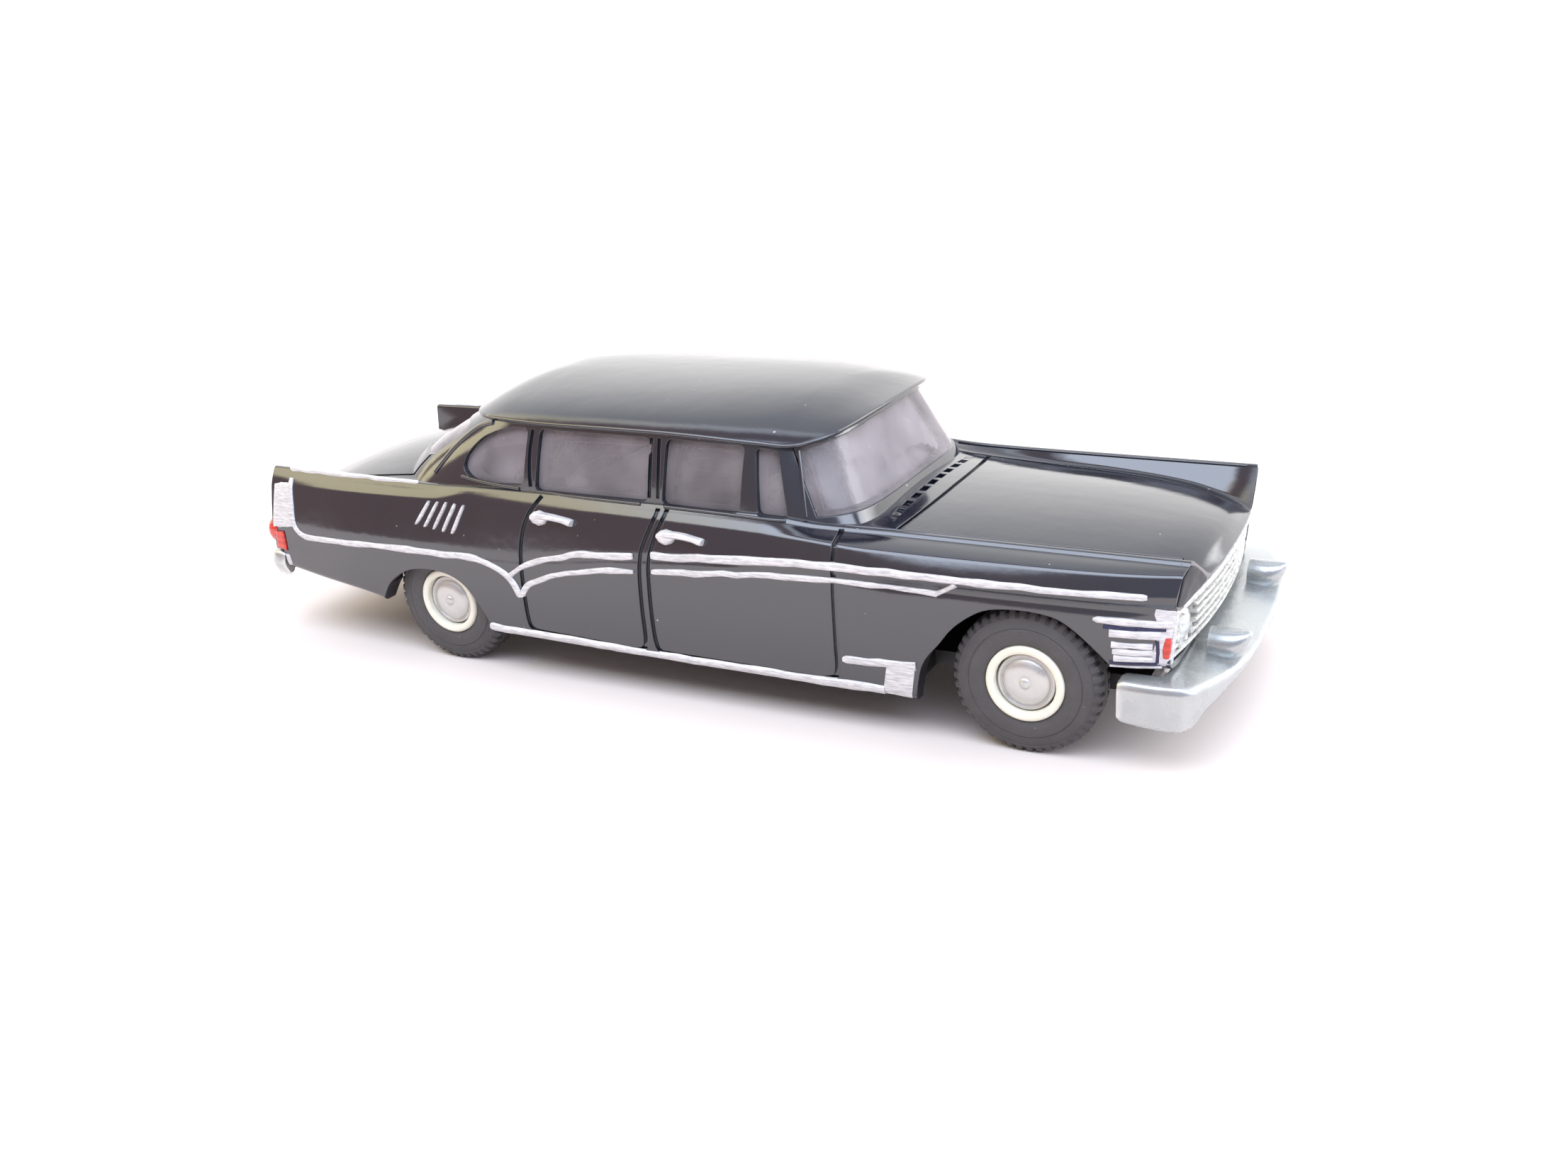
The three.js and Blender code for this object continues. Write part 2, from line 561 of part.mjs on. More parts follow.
function bumperRing([ox, oy, ix, iy, bottom, crease, top, innerTop]) {
  const depth = Math.hypot(ix - ox, iy - oy);
  const innerBottom = Math.min(bottom + 0.2, bottom * 0.5 + 2);
  const section = [
    [0, bottom + 0.2], [0, crease], [0.2, top], [depth, innerTop], [depth, innerBottom], [0.35, bottom],
  ];
  return section.map(([d, z]) => [lerp(ox, ix, d / depth), lerp(oy, iy, d / depth), z]);
}

// A pointed overrider: its rings shrink forward while its top edge stays level.
function bullet(y) {
  const { top, profile } = BULLET;
  const turns = 20;
  return loft(profile.map(([x, r]) => {
    const ring = [];
    for (let i = 0; i < turns; i += 1) {
      const a = (2 * Math.PI * i) / turns;
      ring.push([x, y - r * Math.cos(a), top - r + r * Math.sin(a)]);
    }
    return ring;
  }), [1, 2]);
}

function frontBumper() {
  const right = FRONT_BUMPER.slice(0, -1);
  const mirrored = right.reverse().map(([ox, oy, ix, iy, ...heights]) => [ox, -oy, ix, -iy, ...heights]);
  let bumper = loft([...FRONT_BUMPER, ...mirrored].map(bumperRing), [1, 2]);
  for (const side of [-1, 1]) {
    bumper = bumper.add(bullet(side * BULLET.y));
    const [y0, y1] = side < 0 ? [-4.2, -2.2] : [2.2, 4.2];
    bumper = bumper.add(box(CHASSIS.front + FIT, 27.4, y0, y1, 2.85, 3.55));
    bumper = bumper.add(box(26.8, 27.4, y0, y1, 2.85, 4.6));
  }
  return bumper;
}

function rearBumper() {
  const bumper = wrapBar(REAR_BUMPER_PATH, REAR_BUMPER_SECTION);
  const tongueFront = CHASSIS.rear + 1.5;
  const tongue = box(-34, tongueFront, 3, 5, 3.98, 4.4);
  const pad = box(CHASSIS.rear + 0.1, tongueFront, 3, 5, 4.3, REAR_STEP.bottom - FIT);
  return bumper.add(both(tongue.add(pad)));
}

// The grille face bows with the nose, and its bars stand proud of a backing plate.
function grilleSlab(inner, outer, bottom, top, halfWidth) {
  const rings = [];
  for (let i = 0; i <= 16; i += 1) {
    const y = halfWidth * (-1 + i / 8);
    const front = (z) => noseX(Math.abs(y), z) + outer;
    rings.push([[inner, y, bottom], [front(bottom), y, bottom], [front(top), y, top], [inner, y, top]]);
  }
  return loft(rings, [0, 2]);
}

function frontGrille() {
  const { back, bottom, top, halfWidth } = GRILLE;
  const bore = (r, x) => both(turnedAlongX([[0, 0], [r, 0], [r, 4], [0, 4]], x, LAMP.y, LAMP.z, 28));
  let grille = grilleSlab(back + FIT, -0.7, bottom + FIT, top - FIT, halfWidth - FIT);
  const bars = 6;
  const pitch = (top - bottom - 0.3) / (bars - 1);
  for (let i = 0; i < bars; i += 1) {
    const z = bottom + 0.15 + i * pitch;
    grille = grille.add(grilleSlab(back + FIT, -0.1, z - 0.065, z + 0.065, halfWidth - FIT));
  }
  const outer = LAMP.radius + 0.3;
  const ring = turnedAlongX([[0, 0], [outer, 0], [outer, 0.75], [0, 0.75]], 25.2, LAMP.y, LAMP.z, 28);
  return grille.add(both(ring)).subtract(bore(LAMP.radius + FIT, 25.3));
}

const LAMP_PROFILE = [[0, 0], [1, 0], [1, 0.62], [0.8, 0.8], [0.5, 0.92], [0.2, 0.97], [0, 0.98]];

function headlamp(side) {
  const profile = LAMP_PROFILE.map(([r, d]) => [r * LAMP.radius, d * 0.85]);
  return turnedAlongX(profile, 25.3 + FIT, side * LAMP.y, LAMP.z, 28);
}

function tailLamp(side) {
  const outline = ellipse(side * TAIL_LAMP.y, TAIL_LAMP.z, TAIL_LAMP.halfWidth, TAIL_LAMP.halfHeight, 24);
  return frontPrism(outline, TAIL_LAMP.back, TAIL_LAMP.front);
}

// ---------------------------------------------------------------- wheelsets
const LATHE_TURN = 24;

// A wheel part turned about Y; profile points are [radius, distance in from the wheel face].
function turnedWheelPart(profile, x, faceY, segments = LATHE_TURN) {
  const side = Math.sign(faceY);
  const points = profile.map(([r, d]) => new THREE.Vector2(r, faceY - side * d));
  if (side > 0) points.reverse();
  const geometry = new THREE.LatheGeometry(points, segments);
  geometry.translate(x, 0, TYRE_RADIUS);
  return solidFrom(geometry);
}

const SEAT_RADIUS = RING_OUTER + FIT; // the tyre's bore
const TYRE_PROFILE = [
  [SEAT_RADIUS, 0.12], [2.6, 0.02], [3.3, 0.1], [3.75, 0.32], [TYRE_RADIUS, 0.6],
  [TYRE_RADIUS, TYRE_WIDTH - 0.5], [3.6, TYRE_WIDTH - 0.05], [SEAT_RADIUS, TYRE_WIDTH], [SEAT_RADIUS, 0.12],
];
const RING_PROFILE = [
  [RING_INNER, 0.15], [1.72, 0.02], [1.95, 0], [RING_OUTER, 0.12],
  [RING_OUTER, 1.2], [RING_INNER, 1.2], [RING_INNER, 0.15],
];
const RIM_PROFILE = [
  [AXLE_RADIUS, 1.3], [RING_OUTER, 1.3], [RING_OUTER, TYRE_WIDTH - 0.1],
  [AXLE_RADIUS, TYRE_WIDTH - 0.1], [AXLE_RADIUS, 1.3],
];
const CAP_PROFILE = [
  [0, 0.02], [0.25, 0.06], [0.35, 0.14], [0.8, 0.12], [1.25, 0.28],
  [1.4, 0.42], [CAP_RADIUS, 0.36], [CAP_RADIUS, 1.2], [0, 1.2],
];

function wheelset(label, x, faceY) {
  const pieces = [];
  const axle = crossBar(AXLE_RADIUS - 0.01, -faceY + 1.27, faceY - 1.27, x, TYRE_RADIUS, 24);
  pieces.push([`${label}_axle`, axle, 0x9a9a98, 0.4, 0.9]);
  for (const [sideName, side] of [['right', -1], ['left', 1]]) {
    const at = side * faceY;
    const name = (part) => `${label}_${sideName}_${part}`;
    pieces.push([name('tyre'), turnedWheelPart(TYRE_PROFILE, x, at), 0x2b2b2d, 0.8, 0]);
    pieces.push([name('whitewall'), turnedWheelPart(RING_PROFILE, x, at), 0xe9e6da, 0.35, 0]);
    pieces.push([name('rim'), turnedWheelPart(RIM_PROFILE, x, at), 0x8e8e90, 0.5, 0.3]);
    pieces.push([name('hubcap'), turnedWheelPart(CAP_PROFILE, x, at), 0xb4b3b0, 0.4, 0.6]);
  }
  return pieces;
}

// ---------------------------------------------------------------- assembly
const car = new THREE.Group();

function addPiece(name, solid, color, roughness, metalness) {
  const material = new THREE.MeshStandardMaterial({ color, roughness, metalness });
  const mesh = new THREE.Mesh(geometryFrom(solid), material);
  mesh.name = name;
  car.add(mesh);
  return mesh;
}

addPiece('body_shell', bodyShell(), 0x0b0b0d, 0.15, 0);
const glazing = addPiece('window_glazing', windowGlazing(), 0xd8dcdc, 0.05, 0);
glazing.material.transparent = true;
glazing.material.opacity = 0.4;
addPiece('interior_tub', interiorTub(), 0x77726e, 0.7, 0);
const wheel = addPiece('steering_wheel', steeringWheel(), 0x2a2828, 0.5, 0);
wheel.position.set(WHEEL_HUB.x, WHEEL_HUB.y, WHEEL_HUB.z);
wheel.rotation.y = -WHEEL_HUB.tilt;
addPiece('rear_view_mirror', rearMirror(), 0x3a3836, 0.5, 0);
addPiece('chassis_plate', chassisPlate(), 0x17171a, 0.6, 0);
addPiece('front_bumper', frontBumper(), 0xb9bcbb, 0.35, 0.7);
addPiece('rear_bumper', rearBumper(), 0xc4c4c2, 0.35, 0.7);
addPiece('front_grille', frontGrille(), 0xbdbdb9, 0.4, 0.7);
for (const [sideName, side] of [['right', -1], ['left', 1]]) {
  addPiece(`${sideName}_headlamp`, headlamp(side), 0xdadcda, 0.1, 0);
  addPiece(`${sideName}_tail_lamp`, tailLamp(side), 0xb3221f, 0.2, 0);
}
const wheels = [...wheelset('front', AXLE_X, WHEEL_FACE_Y), ...wheelset('rear', -AXLE_X, REAR_WHEEL_FACE_Y)];
for (const [name, solid, color, roughness, metalness] of wheels) {
  addPiece(name, solid, color, roughness, metalness);
}

car.position.x = -(NOSE_X + TAIL_X) / 2;

const group = new THREE.Group();
group.add(car);

export default group;
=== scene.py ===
"""A 1:87 black limousine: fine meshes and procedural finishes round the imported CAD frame."""

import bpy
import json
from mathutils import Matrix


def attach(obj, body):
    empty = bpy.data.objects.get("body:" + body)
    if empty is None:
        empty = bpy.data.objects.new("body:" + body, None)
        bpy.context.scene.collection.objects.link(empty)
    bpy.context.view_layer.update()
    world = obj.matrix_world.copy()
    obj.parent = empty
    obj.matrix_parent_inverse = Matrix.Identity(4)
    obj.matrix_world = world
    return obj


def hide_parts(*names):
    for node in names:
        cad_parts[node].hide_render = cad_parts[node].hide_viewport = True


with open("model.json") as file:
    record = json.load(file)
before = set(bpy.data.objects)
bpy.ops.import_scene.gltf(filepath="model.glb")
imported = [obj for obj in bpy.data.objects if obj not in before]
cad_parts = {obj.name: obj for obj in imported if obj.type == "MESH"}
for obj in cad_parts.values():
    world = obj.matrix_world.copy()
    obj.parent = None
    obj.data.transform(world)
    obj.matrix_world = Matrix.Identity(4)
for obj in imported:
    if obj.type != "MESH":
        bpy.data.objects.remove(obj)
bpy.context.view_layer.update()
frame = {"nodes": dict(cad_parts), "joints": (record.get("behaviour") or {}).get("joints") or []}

import json
import math

import bmesh
import bpy
import numpy as np
from mathutils import Matrix, Vector
from mathutils.bvhtree import BVHTree

# ------------------------------------------------------------------ frame and sizes (mm)
# Shapes are written in millimetres from the point midway between the axles, +X towards
# the bonnet, and are moved to the frame's own origin when their mesh is made.
MM = 0.001
AXLES = {j["name"]: Vector(j["pos_m"]) / MM for j in frame["joints"]}
FRONT_AXLE = AXLES["front_axle_spin"]
REAR_AXLE = AXLES["rear_axle_spin"]
SHIFT_X = (FRONT_AXLE.x + REAR_AXLE.x) / 2
AXLE_X = (FRONT_AXLE.x - REAR_AXLE.x) / 2
AXLE_Z = FRONT_AXLE.z
TYRE_RADIUS = AXLE_Z
ORIGIN = np.array([SHIFT_X, 0.0, 0.0])
rng = np.random.default_rng(87)


# ------------------------------------------------------------------ maths helpers
def lerp(a, b, t):
    return a + (b - a) * t


def smooth(t):
    t = np.clip(t, 0.0, 1.0)
    return t * t * (3 - 2 * t)


def curve(points):
    """Smooth function through given points (x, value)."""
    xs = np.array([p[0] for p in points], float)
    vs = np.array([p[1] for p in points], float)
    ahead = np.minimum(np.arange(len(xs)) + 1, len(xs) - 1)
    behind = np.maximum(np.arange(len(xs)) - 1, 0)
    slopes = (vs[ahead] - vs[behind]) / (xs[ahead] - xs[behind])

    def value(x):
        x = np.clip(np.asarray(x, float), xs[0], xs[-1])
        i = np.clip(np.searchsorted(xs, x, side="right") - 1, 0, len(xs) - 2)
        h = xs[i + 1] - xs[i]
        t = (x - xs[i]) / h
        out = vs[i] * (1 + 2 * t) * (1 - t) ** 2 + vs[i + 1] * t * t * (3 - 2 * t)
        return out + h * (slopes[i] * t * (1 - t) ** 2 - slopes[i + 1] * t * t * (1 - t))

    return value


def smooth_path(points, step=0.25, closed=False):
    """Catmull-Rom through 2-D or 3-D points, resampled at about one step."""
    p = np.array(points, float)
    n = len(p)
    out = []
    spans = n if closed else n - 1
    for i in range(spans):
        p1, p2 = p[i % n], p[(i + 1) % n]
        p0 = p[(i - 1) % n] if closed or i > 0 else 2 * p1 - p2
        p3 = p[(i + 2) % n] if closed or i + 2 < n else 2 * p2 - p1
        count = max(1, int(np.ceil(np.linalg.norm(p2 - p1) / step)))
        for k in range(count):
            t = k / count
            out.append(0.5 * (2 * p1 + (p2 - p0) * t + (2 * p0 - 5 * p1 + 4 * p2 - p3) * t * t
                              + (3 * p1 - p0 - 3 * p2 + p3) * t ** 3))
    if not closed:
        out.append(p[-1])
    return np.array(out)


def rounded(controls, radii, arc=5, straight=2):
    """Rounds the corners of many polylines at once: controls is (lines, corners, 2)."""
    c = np.asarray(controls, float)
    out = []
    corner_count = c.shape[1]
    last = c[:, 0]
    out.append(last)
    for k in range(1, corner_count):
        if k == corner_count - 1:
            a = c[:, k]
        else:
            into = c[:, k - 1] - c[:, k]
            onto = c[:, k + 1] - c[:, k]
            len_in = np.linalg.norm(into, axis=1, keepdims=True) + 1e-9
            len_on = np.linalg.norm(onto, axis=1, keepdims=True) + 1e-9
            a = c[:, k] + into / len_in * np.minimum(radii[k], 0.45 * len_in)
            b = c[:, k] + onto / len_on * np.minimum(radii[k], 0.45 * len_on)
        for s in range(1, straight + 1):
            out.append(lerp(last, a, s / straight))
        last = a
        if k < corner_count - 1:
            for s in range(1, arc + 1):
                t = s / arc
                out.append((1 - t) ** 2 * a + 2 * t * (1 - t) * c[:, k] + t * t * b)
            last = b
    return np.stack(out, axis=1)


# ------------------------------------------------------------------ mesh helpers
def make_object(name, verts, faces, smooth_angle=35.0, material=None):
    """A mesh object from points in millimetres."""
    mesh = bpy.data.meshes.new(name)
    points = (np.asarray(verts, float) + ORIGIN) * MM
    mesh.from_pydata(points.tolist(), [], [list(map(int, f)) for f in faces])
    mesh.validate()
    obj = bpy.data.objects.new(name, mesh)
    bpy.context.scene.collection.objects.link(obj)
    if material is not None:
        mesh.materials.append(material)
    shade(obj, smooth_angle)
    return obj


def shade(obj, angle=35.0):
    obj.data.shade_smooth()
    obj.data.set_sharp_from_angle(angle=math.radians(angle))


def grid_faces(rows, columns, wrap=False, start=0):
    """Quads between successive rows of points; wrap joins the last column to the first."""
    faces = []
    for r in range(rows - 1):
        for c in range(columns if wrap else columns - 1):
            d = (c + 1) % columns
            a, b = start + r * columns, start + (r + 1) * columns
            faces.append((a + c, a + d, b + d, b + c))
    return faces


def loft(name, rings, cap=True, **kwargs):
    """A closed skin over rings, each an array of points."""
    rings = np.asarray(rings, float)
    rows, columns, _ = rings.shape
    faces = grid_faces(rows, columns, wrap=True)
    if cap:
        faces.append(tuple(range(columns))[::-1])
        last = (rows - 1) * columns
        faces.append(tuple(range(last, last + columns)))
    obj = make_object(name, rings.reshape(-1, 3), faces, **kwargs)
    point_outward(obj)
    return obj


def closed_rings(name, rings, smooth_angle=35.0):
    """A skin over rings whose last ring meets the first: a torus or a part with a bore."""
    rings = np.asarray(rings, float)
    rows, columns, _ = rings.shape
    last = (rows - 1) * columns
    faces = grid_faces(rows, columns, wrap=True)
    faces += [(last + c, last + (c + 1) % columns, (c + 1) % columns, c) for c in range(columns)]
    obj = make_object(name, rings.reshape(-1, 3), faces, smooth_angle=smooth_angle)
    point_outward(obj)
    return obj


def around(count):
    """Cosines and sines of evenly spaced angles, one full turn."""
    angles = np.linspace(0, 2 * np.pi, count, endpoint=False)
    return np.cos(angles), np.sin(angles)


def point_outward(obj):
    bm = bmesh.new()
    bm.from_mesh(obj.data)
    bmesh.ops.triangulate(bm, faces=[f for f in bm.faces if len(f.verts) > 4])
    bmesh.ops.recalc_face_normals(bm, faces=bm.faces)
    if bm.calc_volume(signed=True) < 0:
        bmesh.ops.reverse_faces(bm, faces=bm.faces)
    bm.to_mesh(obj.data)
    bm.free()


def combine(obj, other, operation, keep_other=False):
    """Joins or cuts obj with other by the boolean modifier and applies the result."""
    modifier = obj.modifiers.new(operation, "BOOLEAN")
    modifier.operation = operation
    modifier.solver = "MANIFOLD"
    modifier.object = other
    apply_modifiers(obj)
    if not keep_other:
        bpy.data.objects.remove(other)
    return obj


def apply_modifiers(obj):
    graph = bpy.context.evaluated_depsgraph_get()
    mesh = bpy.data.meshes.new_from_object(obj.evaluated_get(graph))
    old = obj.data
    obj.modifiers.clear()
    obj.data = mesh
    mesh.name = old.name
    bpy.data.meshes.remove(old)


def side_prism(name, outline, y0, y1):
    ring = np.array(outline, float)
    low = np.column_stack([ring[:, 0], np.full(len(ring), y0), ring[:, 1]])
    high = np.column_stack([ring[:, 0], np.full(len(ring), y1), ring[:, 1]])
    return loft(name, [low, high])


def box(name, x0, x1, y0, y1, z0, z1):
    return side_prism(name, [(x0, z0), (x1, z0), (x1, z1), (x0, z1)], y0, y1)


def turned(name, profile, axis, centre, segments=64, direction=1.0, **kwargs):
    """A lathe: profile (radius, distance) turned about X or Y through centre."""
    angles = np.linspace(0, 2 * np.pi, segments, endpoint=False)
    rings = []
    for radius, distance in profile:
        radius = max(radius, 1e-4)
        u, v = radius * np.cos(angles), radius * np.sin(angles)
        along = np.full(segments, distance * direction)
        ring = np.column_stack([along, u, v] if axis == "x" else [u, along, v])
        rings.append(ring + np.array(centre, float))
    return loft(name, rings, **kwargs)


def join(name, objects):
    """Several meshes as the parts of one object, materials kept."""
    bpy.ops.object.select_all(action="DESELECT")
    for obj in objects:
        obj.select_set(True)
    bpy.context.view_layer.objects.active = objects[0]
    bpy.ops.object.join()
    objects[0].name = name
    objects[0].data.name = name
    return objects[0]


def mirrored(obj, name):
    """A copy on the other side of the car."""
    copy = obj.copy()
    copy.data = obj.data.copy()
    copy.name = name
    copy.data.name = name
    bpy.context.scene.collection.objects.link(copy)
    copy.data.transform(Matrix.Scale(-1, 4, Vector((0, 1, 0))))
    copy.data.flip_normals()
    return copy


# ------------------------------------------------------------------ body lines
bottom_z = curve([(-33, 4.7), (-30, 4.3), (-23.8, 3.55), (-22.8, 2.75), (-15, 2.65), (11, 2.3), (14, 2.3),
                  (21.5, 5.1), (22.5, 5.3), (26, 5.35)])
side_w = curve([(-33, 9.75), (-30, 10.0), (-26, 10.35), (-19, 10.65), (-8, 10.8), (5, 10.8), (14, 10.65),
                (21, 10.45), (24, 10.15), (26, 9.6)])
spear_z = curve([(-33, 7.3), (-17, 7.4), (-12, 7.5), (-6, 8.2), (0, 8.7), (8, 9.0), (26, 8.9)])
bulge_w = curve([(-33, 9.7), (-26, 10.25), (-16, 10.55), (-6, 10.65), (6, 10.65), (14, 10.7), (21, 10.5),
                 (24, 10.2), (26, 9.75)])
crease_w = curve([(-33, 9.05), (-26, 9.55), (-16, 9.85), (-6, 10.08), (6, 10.15), (14, 10.1), (21, 9.95),
                  (24, 9.7), (26, 9.35)])
crease_z = curve([(-33, 10.2), (-16, 10.55), (-6, 10.75), (6, 10.6), (10, 10.4), (26, 10.3)])
ridge_w = curve([(-33, 8.35), (-26, 8.7), (-19, 9.05), (-16, 9.3), (4, 9.3), (8, 8.75), (11, 8.5), (26, 8.4)])
ridge_z = curve([(-33, 11.25), (-19, 11.3), (-16, 11.45), (4, 11.45), (7, 11.05), (11, 10.9), (26, 10.75)])
valley_w = curve([(-33, 7.7), (-26, 7.9), (-19, 8.2), (5, 8.3), (10, 7.6), (20, 7.4), (23, 7.15), (24.5, 6.7),
                  (25.3, 6.1), (26, 5.3)])
valley_z = curve([(-33, 8.9), (-30.5, 9.8), (-28, 10.4), (-24, 10.8), (-20, 10.9), (8, 10.7), (10, 10.5),
                  (15, 10.15), (19, 9.95), (22.5, 9.6), (24.5, 9.2), (26, 8.95)])
crown_z = curve([(-33, 9.3), (-30.6, 10.4), (-28, 11.25), (-25, 11.85), (-22, 12.1), (-18, 11.6), (8, 11.1),
                 (11.2, 11.0), (19, 10.75), (23, 10.35), (24.6, 10.05), (25.4, 9.7), (26, 9.05)])
under_spear = curve([(2, 0.0), (8, 0.05), (13, 0.26), (26, 0.26)])
BODY_REAR, BODY_FRONT, END_BLEND = -33.0, 26.0, 7.0


def nose_x(w, z):
    return 25.75 + 0.85 * (1 - (w / 9.5) ** 2) + 0.095 * (z - 5.4)


def tail_x(w):
    return -33 - 0.6 * (1 - (w / 9.5) ** 2)


def bowed(x, w, z):
    """Where a point of the section at nominal x really lies: the end faces bow out."""
    front_start, rear_start = BODY_FRONT - END_BLEND, BODY_REAR + END_BLEND
    front = front_start + (x - front_start) * (nose_x(w, z) - front_start) / END_BLEND
    rear = rear_start + (rear_start - x) * (tail_x(w) - rear_start) / END_BLEND
    return np.where(x > front_start, front, np.where(x < rear_start, rear, x))


def body_controls(x):
    """Corner points (half width, height) of the half sections at nominal stations x."""
    w, zb, zs, bw = side_w(x), bottom_z(x), spear_z(x), bulge_w(x)
    cw, cz, rw, rz = crease_w(x), crease_z(x), ridge_w(x), ridge_z(x)
    vw, vz, top = valley_w(x), valley_z(x), crown_z(x)
    rows = [
        (w - 1.3, zb), (w - 0.55, zb), (w - 0.12, zb + 0.3), (w, np.maximum(zb + 1.5, 5.2)),
        (w - 0.05, zs - 0.9), (lerp(w - 0.08, bw - 0.28, under_spear(x) / 0.26), zs - 0.25),
        (bw, zs + 0.12), (bw - 0.02, zs + 0.45), (lerp(bw, cw, 0.5), lerp(zs + 0.45, cz, 0.52)), (cw, cz),
        (lerp(cw, rw + 0.25, 0.5), lerp(cz, rz - 0.2, 0.5) + 0.03), (rw + 0.22, rz - 0.22), (rw + 0.07, rz - 0.02),
        (rw - 0.18, rz), (rw - 0.32, rz - 0.1), (vw + 0.12, vz + 0.12), (vw - 0.25, lerp(top, vz, 0.94)),
    ]
    for t in (0.8, 0.6, 0.4, 0.2, 0.0):
        rows.append((vw * t, lerp(top, vz, t * t)))
    return np.stack([np.column_stack(r) for r in rows], axis=1)


CORNER_RADII = [0, 0.1, 0.25, 1.0, 0.6, 0.22, 0.14, 0.4, 0.5, 0.16, 0.5, 0.07, 0.08, 0.08, 0.1, 0.16, 0.3,
                0.6, 0.6, 0.6, 0.6, 0]


# ------------------------------------------------------------------ greenhouse lines
MID_X, SPINE_REAR, SPINE_FRONT = -5.0, -12.5, 4.2
LEVEL_BASE_Z = 10.3
REAR_BULGE, SIDE_BULGE = 1.2, 0.12
BASE_RING = dict(front=9.55, rear=-24.9, width=9.45, front_power=6, rear_power=4.2)
RIM_RING = dict(front=7.3, rear=-18.5, width=8.5, front_power=4.4, rear_power=3.6)
NO_INSET = dict(side=0.0, front=0.0, rear=0.0, top=0.0)
WALL = 1.15
BEYOND = 12  # cutters reach past both sides of the body
CAVITY = dict(side=WALL, front=0.6, rear=0.75, top=0.9)
roof_crown = curve([(-18.6, 15.85), (-16, 16.9), (-13, 17.05), (-9, 17.09), (-4, 17.1), (1, 17.03), (5, 16.72),
                    (8.1, 16.08)])
side_rim = curve([(-18.5, 14.95), (-15, 15.2), (-8, 15.3), (-2, 15.25), (2.5, 15.0), (5.5, 14.7)])
overhang = curve([(-18, 0.03), (-14, 0.1), (-10, 0.22), (3, 0.24), (5.5, 0.5), (7.4, 0.75)])


def grown(inset, by):
    return {key: value + by for key, value in inset.items()}


def super_point(ring, angle, inset):
    c, s = np.cos(angle), np.sin(angle)
    reach = np.where(c > 0, ring["front"] - inset["front"] - MID_X, MID_X - ring["rear"] - inset["rear"])
    power = np.where(c > 0, ring["front_power"], ring["rear_power"])
    x = MID_X + reach * np.sign(c) * np.abs(c) ** (2 / power)
    y = (ring["width"] - inset["side"]) * np.sign(s) * np.abs(s) ** (2 / power)
    return x, y


def rim_height(angle):
    x, y = super_point(RIM_RING, angle, NO_INSET)
    front = 15.72 - (y / 8.3) ** 2
    return lerp(side_rim(x), front, smooth((x - 3.5) / 3.5))


def wall_point(angle, inset, t):
    bx, by = super_point(BASE_RING, angle, inset)
    rx, ry = super_point(RIM_RING, angle, inset)
    rearness = np.maximum(0, -np.cos(angle)) ** 2
    bulge = math.sin(math.pi * t)
    return np.column_stack([
        lerp(bx, rx, t) - REAR_BULGE * rearness * bulge,
        lerp(by, ry, t) + SIDE_BULGE * np.sin(angle) * bulge,
        lerp(LEVEL_BASE_Z, rim_height(angle) - inset["top"], t),
    ])


# The bead of the drip rail and of the peak over the windscreen: share of the overhang,
# extra reach and height above the rim.
RAIL = [(0.25, 0, -0.03), (0.62, 0, 0.0), (0.93, 0, 0.02), (1.0, 0.03, 0.07), (1.0, 0.05, 0.13), (1.0, 0.03, 0.19),
        (0.97, 0, 0.235), (0.88, -0.02, 0.262)]


def dome_angles(count):
    """Angles packed closer where the plan turns its corners."""
    even = (np.arange(count) + 0.5) * 2 * np.pi / count
    return even + 0.16 * np.sin(4 * even)


def greenhouse(name, inset, count=208, foot=None, wall=22, roof=26):
    angle = dome_angles(count)
    levels = []
    if foot is not None:
        start = wall_point(angle, inset, 0)
        start[:, 2] = foot
        levels.append(start)
    levels += [wall_point(angle, inset, t) for t in np.linspace(0, 1, wall)]
    rim = levels[-1]
    edge = rim
    if inset["top"] == 0:
        out = overhang(rim[:, 0])
        spine = np.clip(rim[:, 0], SPINE_REAR, SPINE_FRONT)
        away = np.column_stack([rim[:, 0] - spine, rim[:, 1]])
        away /= np.linalg.norm(away, axis=1, keepdims=True)
        for share, extra, rise in RAIL:
            reach = out * share + extra
            edge = np.column_stack([rim[:, :2] + away * reach[:, None], rim[:, 2] + rise])
            levels.append(edge)
    foot_x = np.clip(edge[:, 0], SPINE_REAR, SPINE_FRONT)
    for rho in np.sin(np.linspace(0.5 * np.pi, 0, roof))[1:]:
        x = lerp(foot_x, edge[:, 0], rho)
        z = lerp(roof_crown(x) - inset["top"], edge[:, 2], 0.82 * rho ** 2.3 + 0.18 * rho ** 12)
        levels.append(np.column_stack([x, edge[:, 1] * rho, z]))
    verts = np.concatenate(levels)
    faces = grid_faces(len(levels), count, wrap=True)
    faces.append(tuple(range(count))[::-1])
    obj = make_object(name, verts, faces)
    bm = bmesh.new()
    bm.from_mesh(obj.data)
    bmesh.ops.remove_doubles(bm, verts=bm.verts, dist=2e-7)
    bm.to_mesh(obj.data)
    bm.free()
    point_outward(obj)
    return obj


def wall_slice(name, t0, t1, count=160):
    swollen = dict(side=-1.0, front=-1.0, rear=-1.0, top=0.0)
    angle = dome_angles(count)
    return loft(name, [wall_point(angle, swollen, t) for t in np.linspace(t0, t1, 9)])


# ------------------------------------------------------------------ outer skin and its probes
def full_ring(x, half):
    """Both halves of a section as one closed ring of 3-D points at its bowed place."""
    w, z = half[:, 0], half[:, 1]
    right = np.column_stack([bowed(np.full(len(w), x), w, z), -w, z])
    left = right[-2::-1] * np.array([1, -1, 1])
    return np.concatenate([right, left])


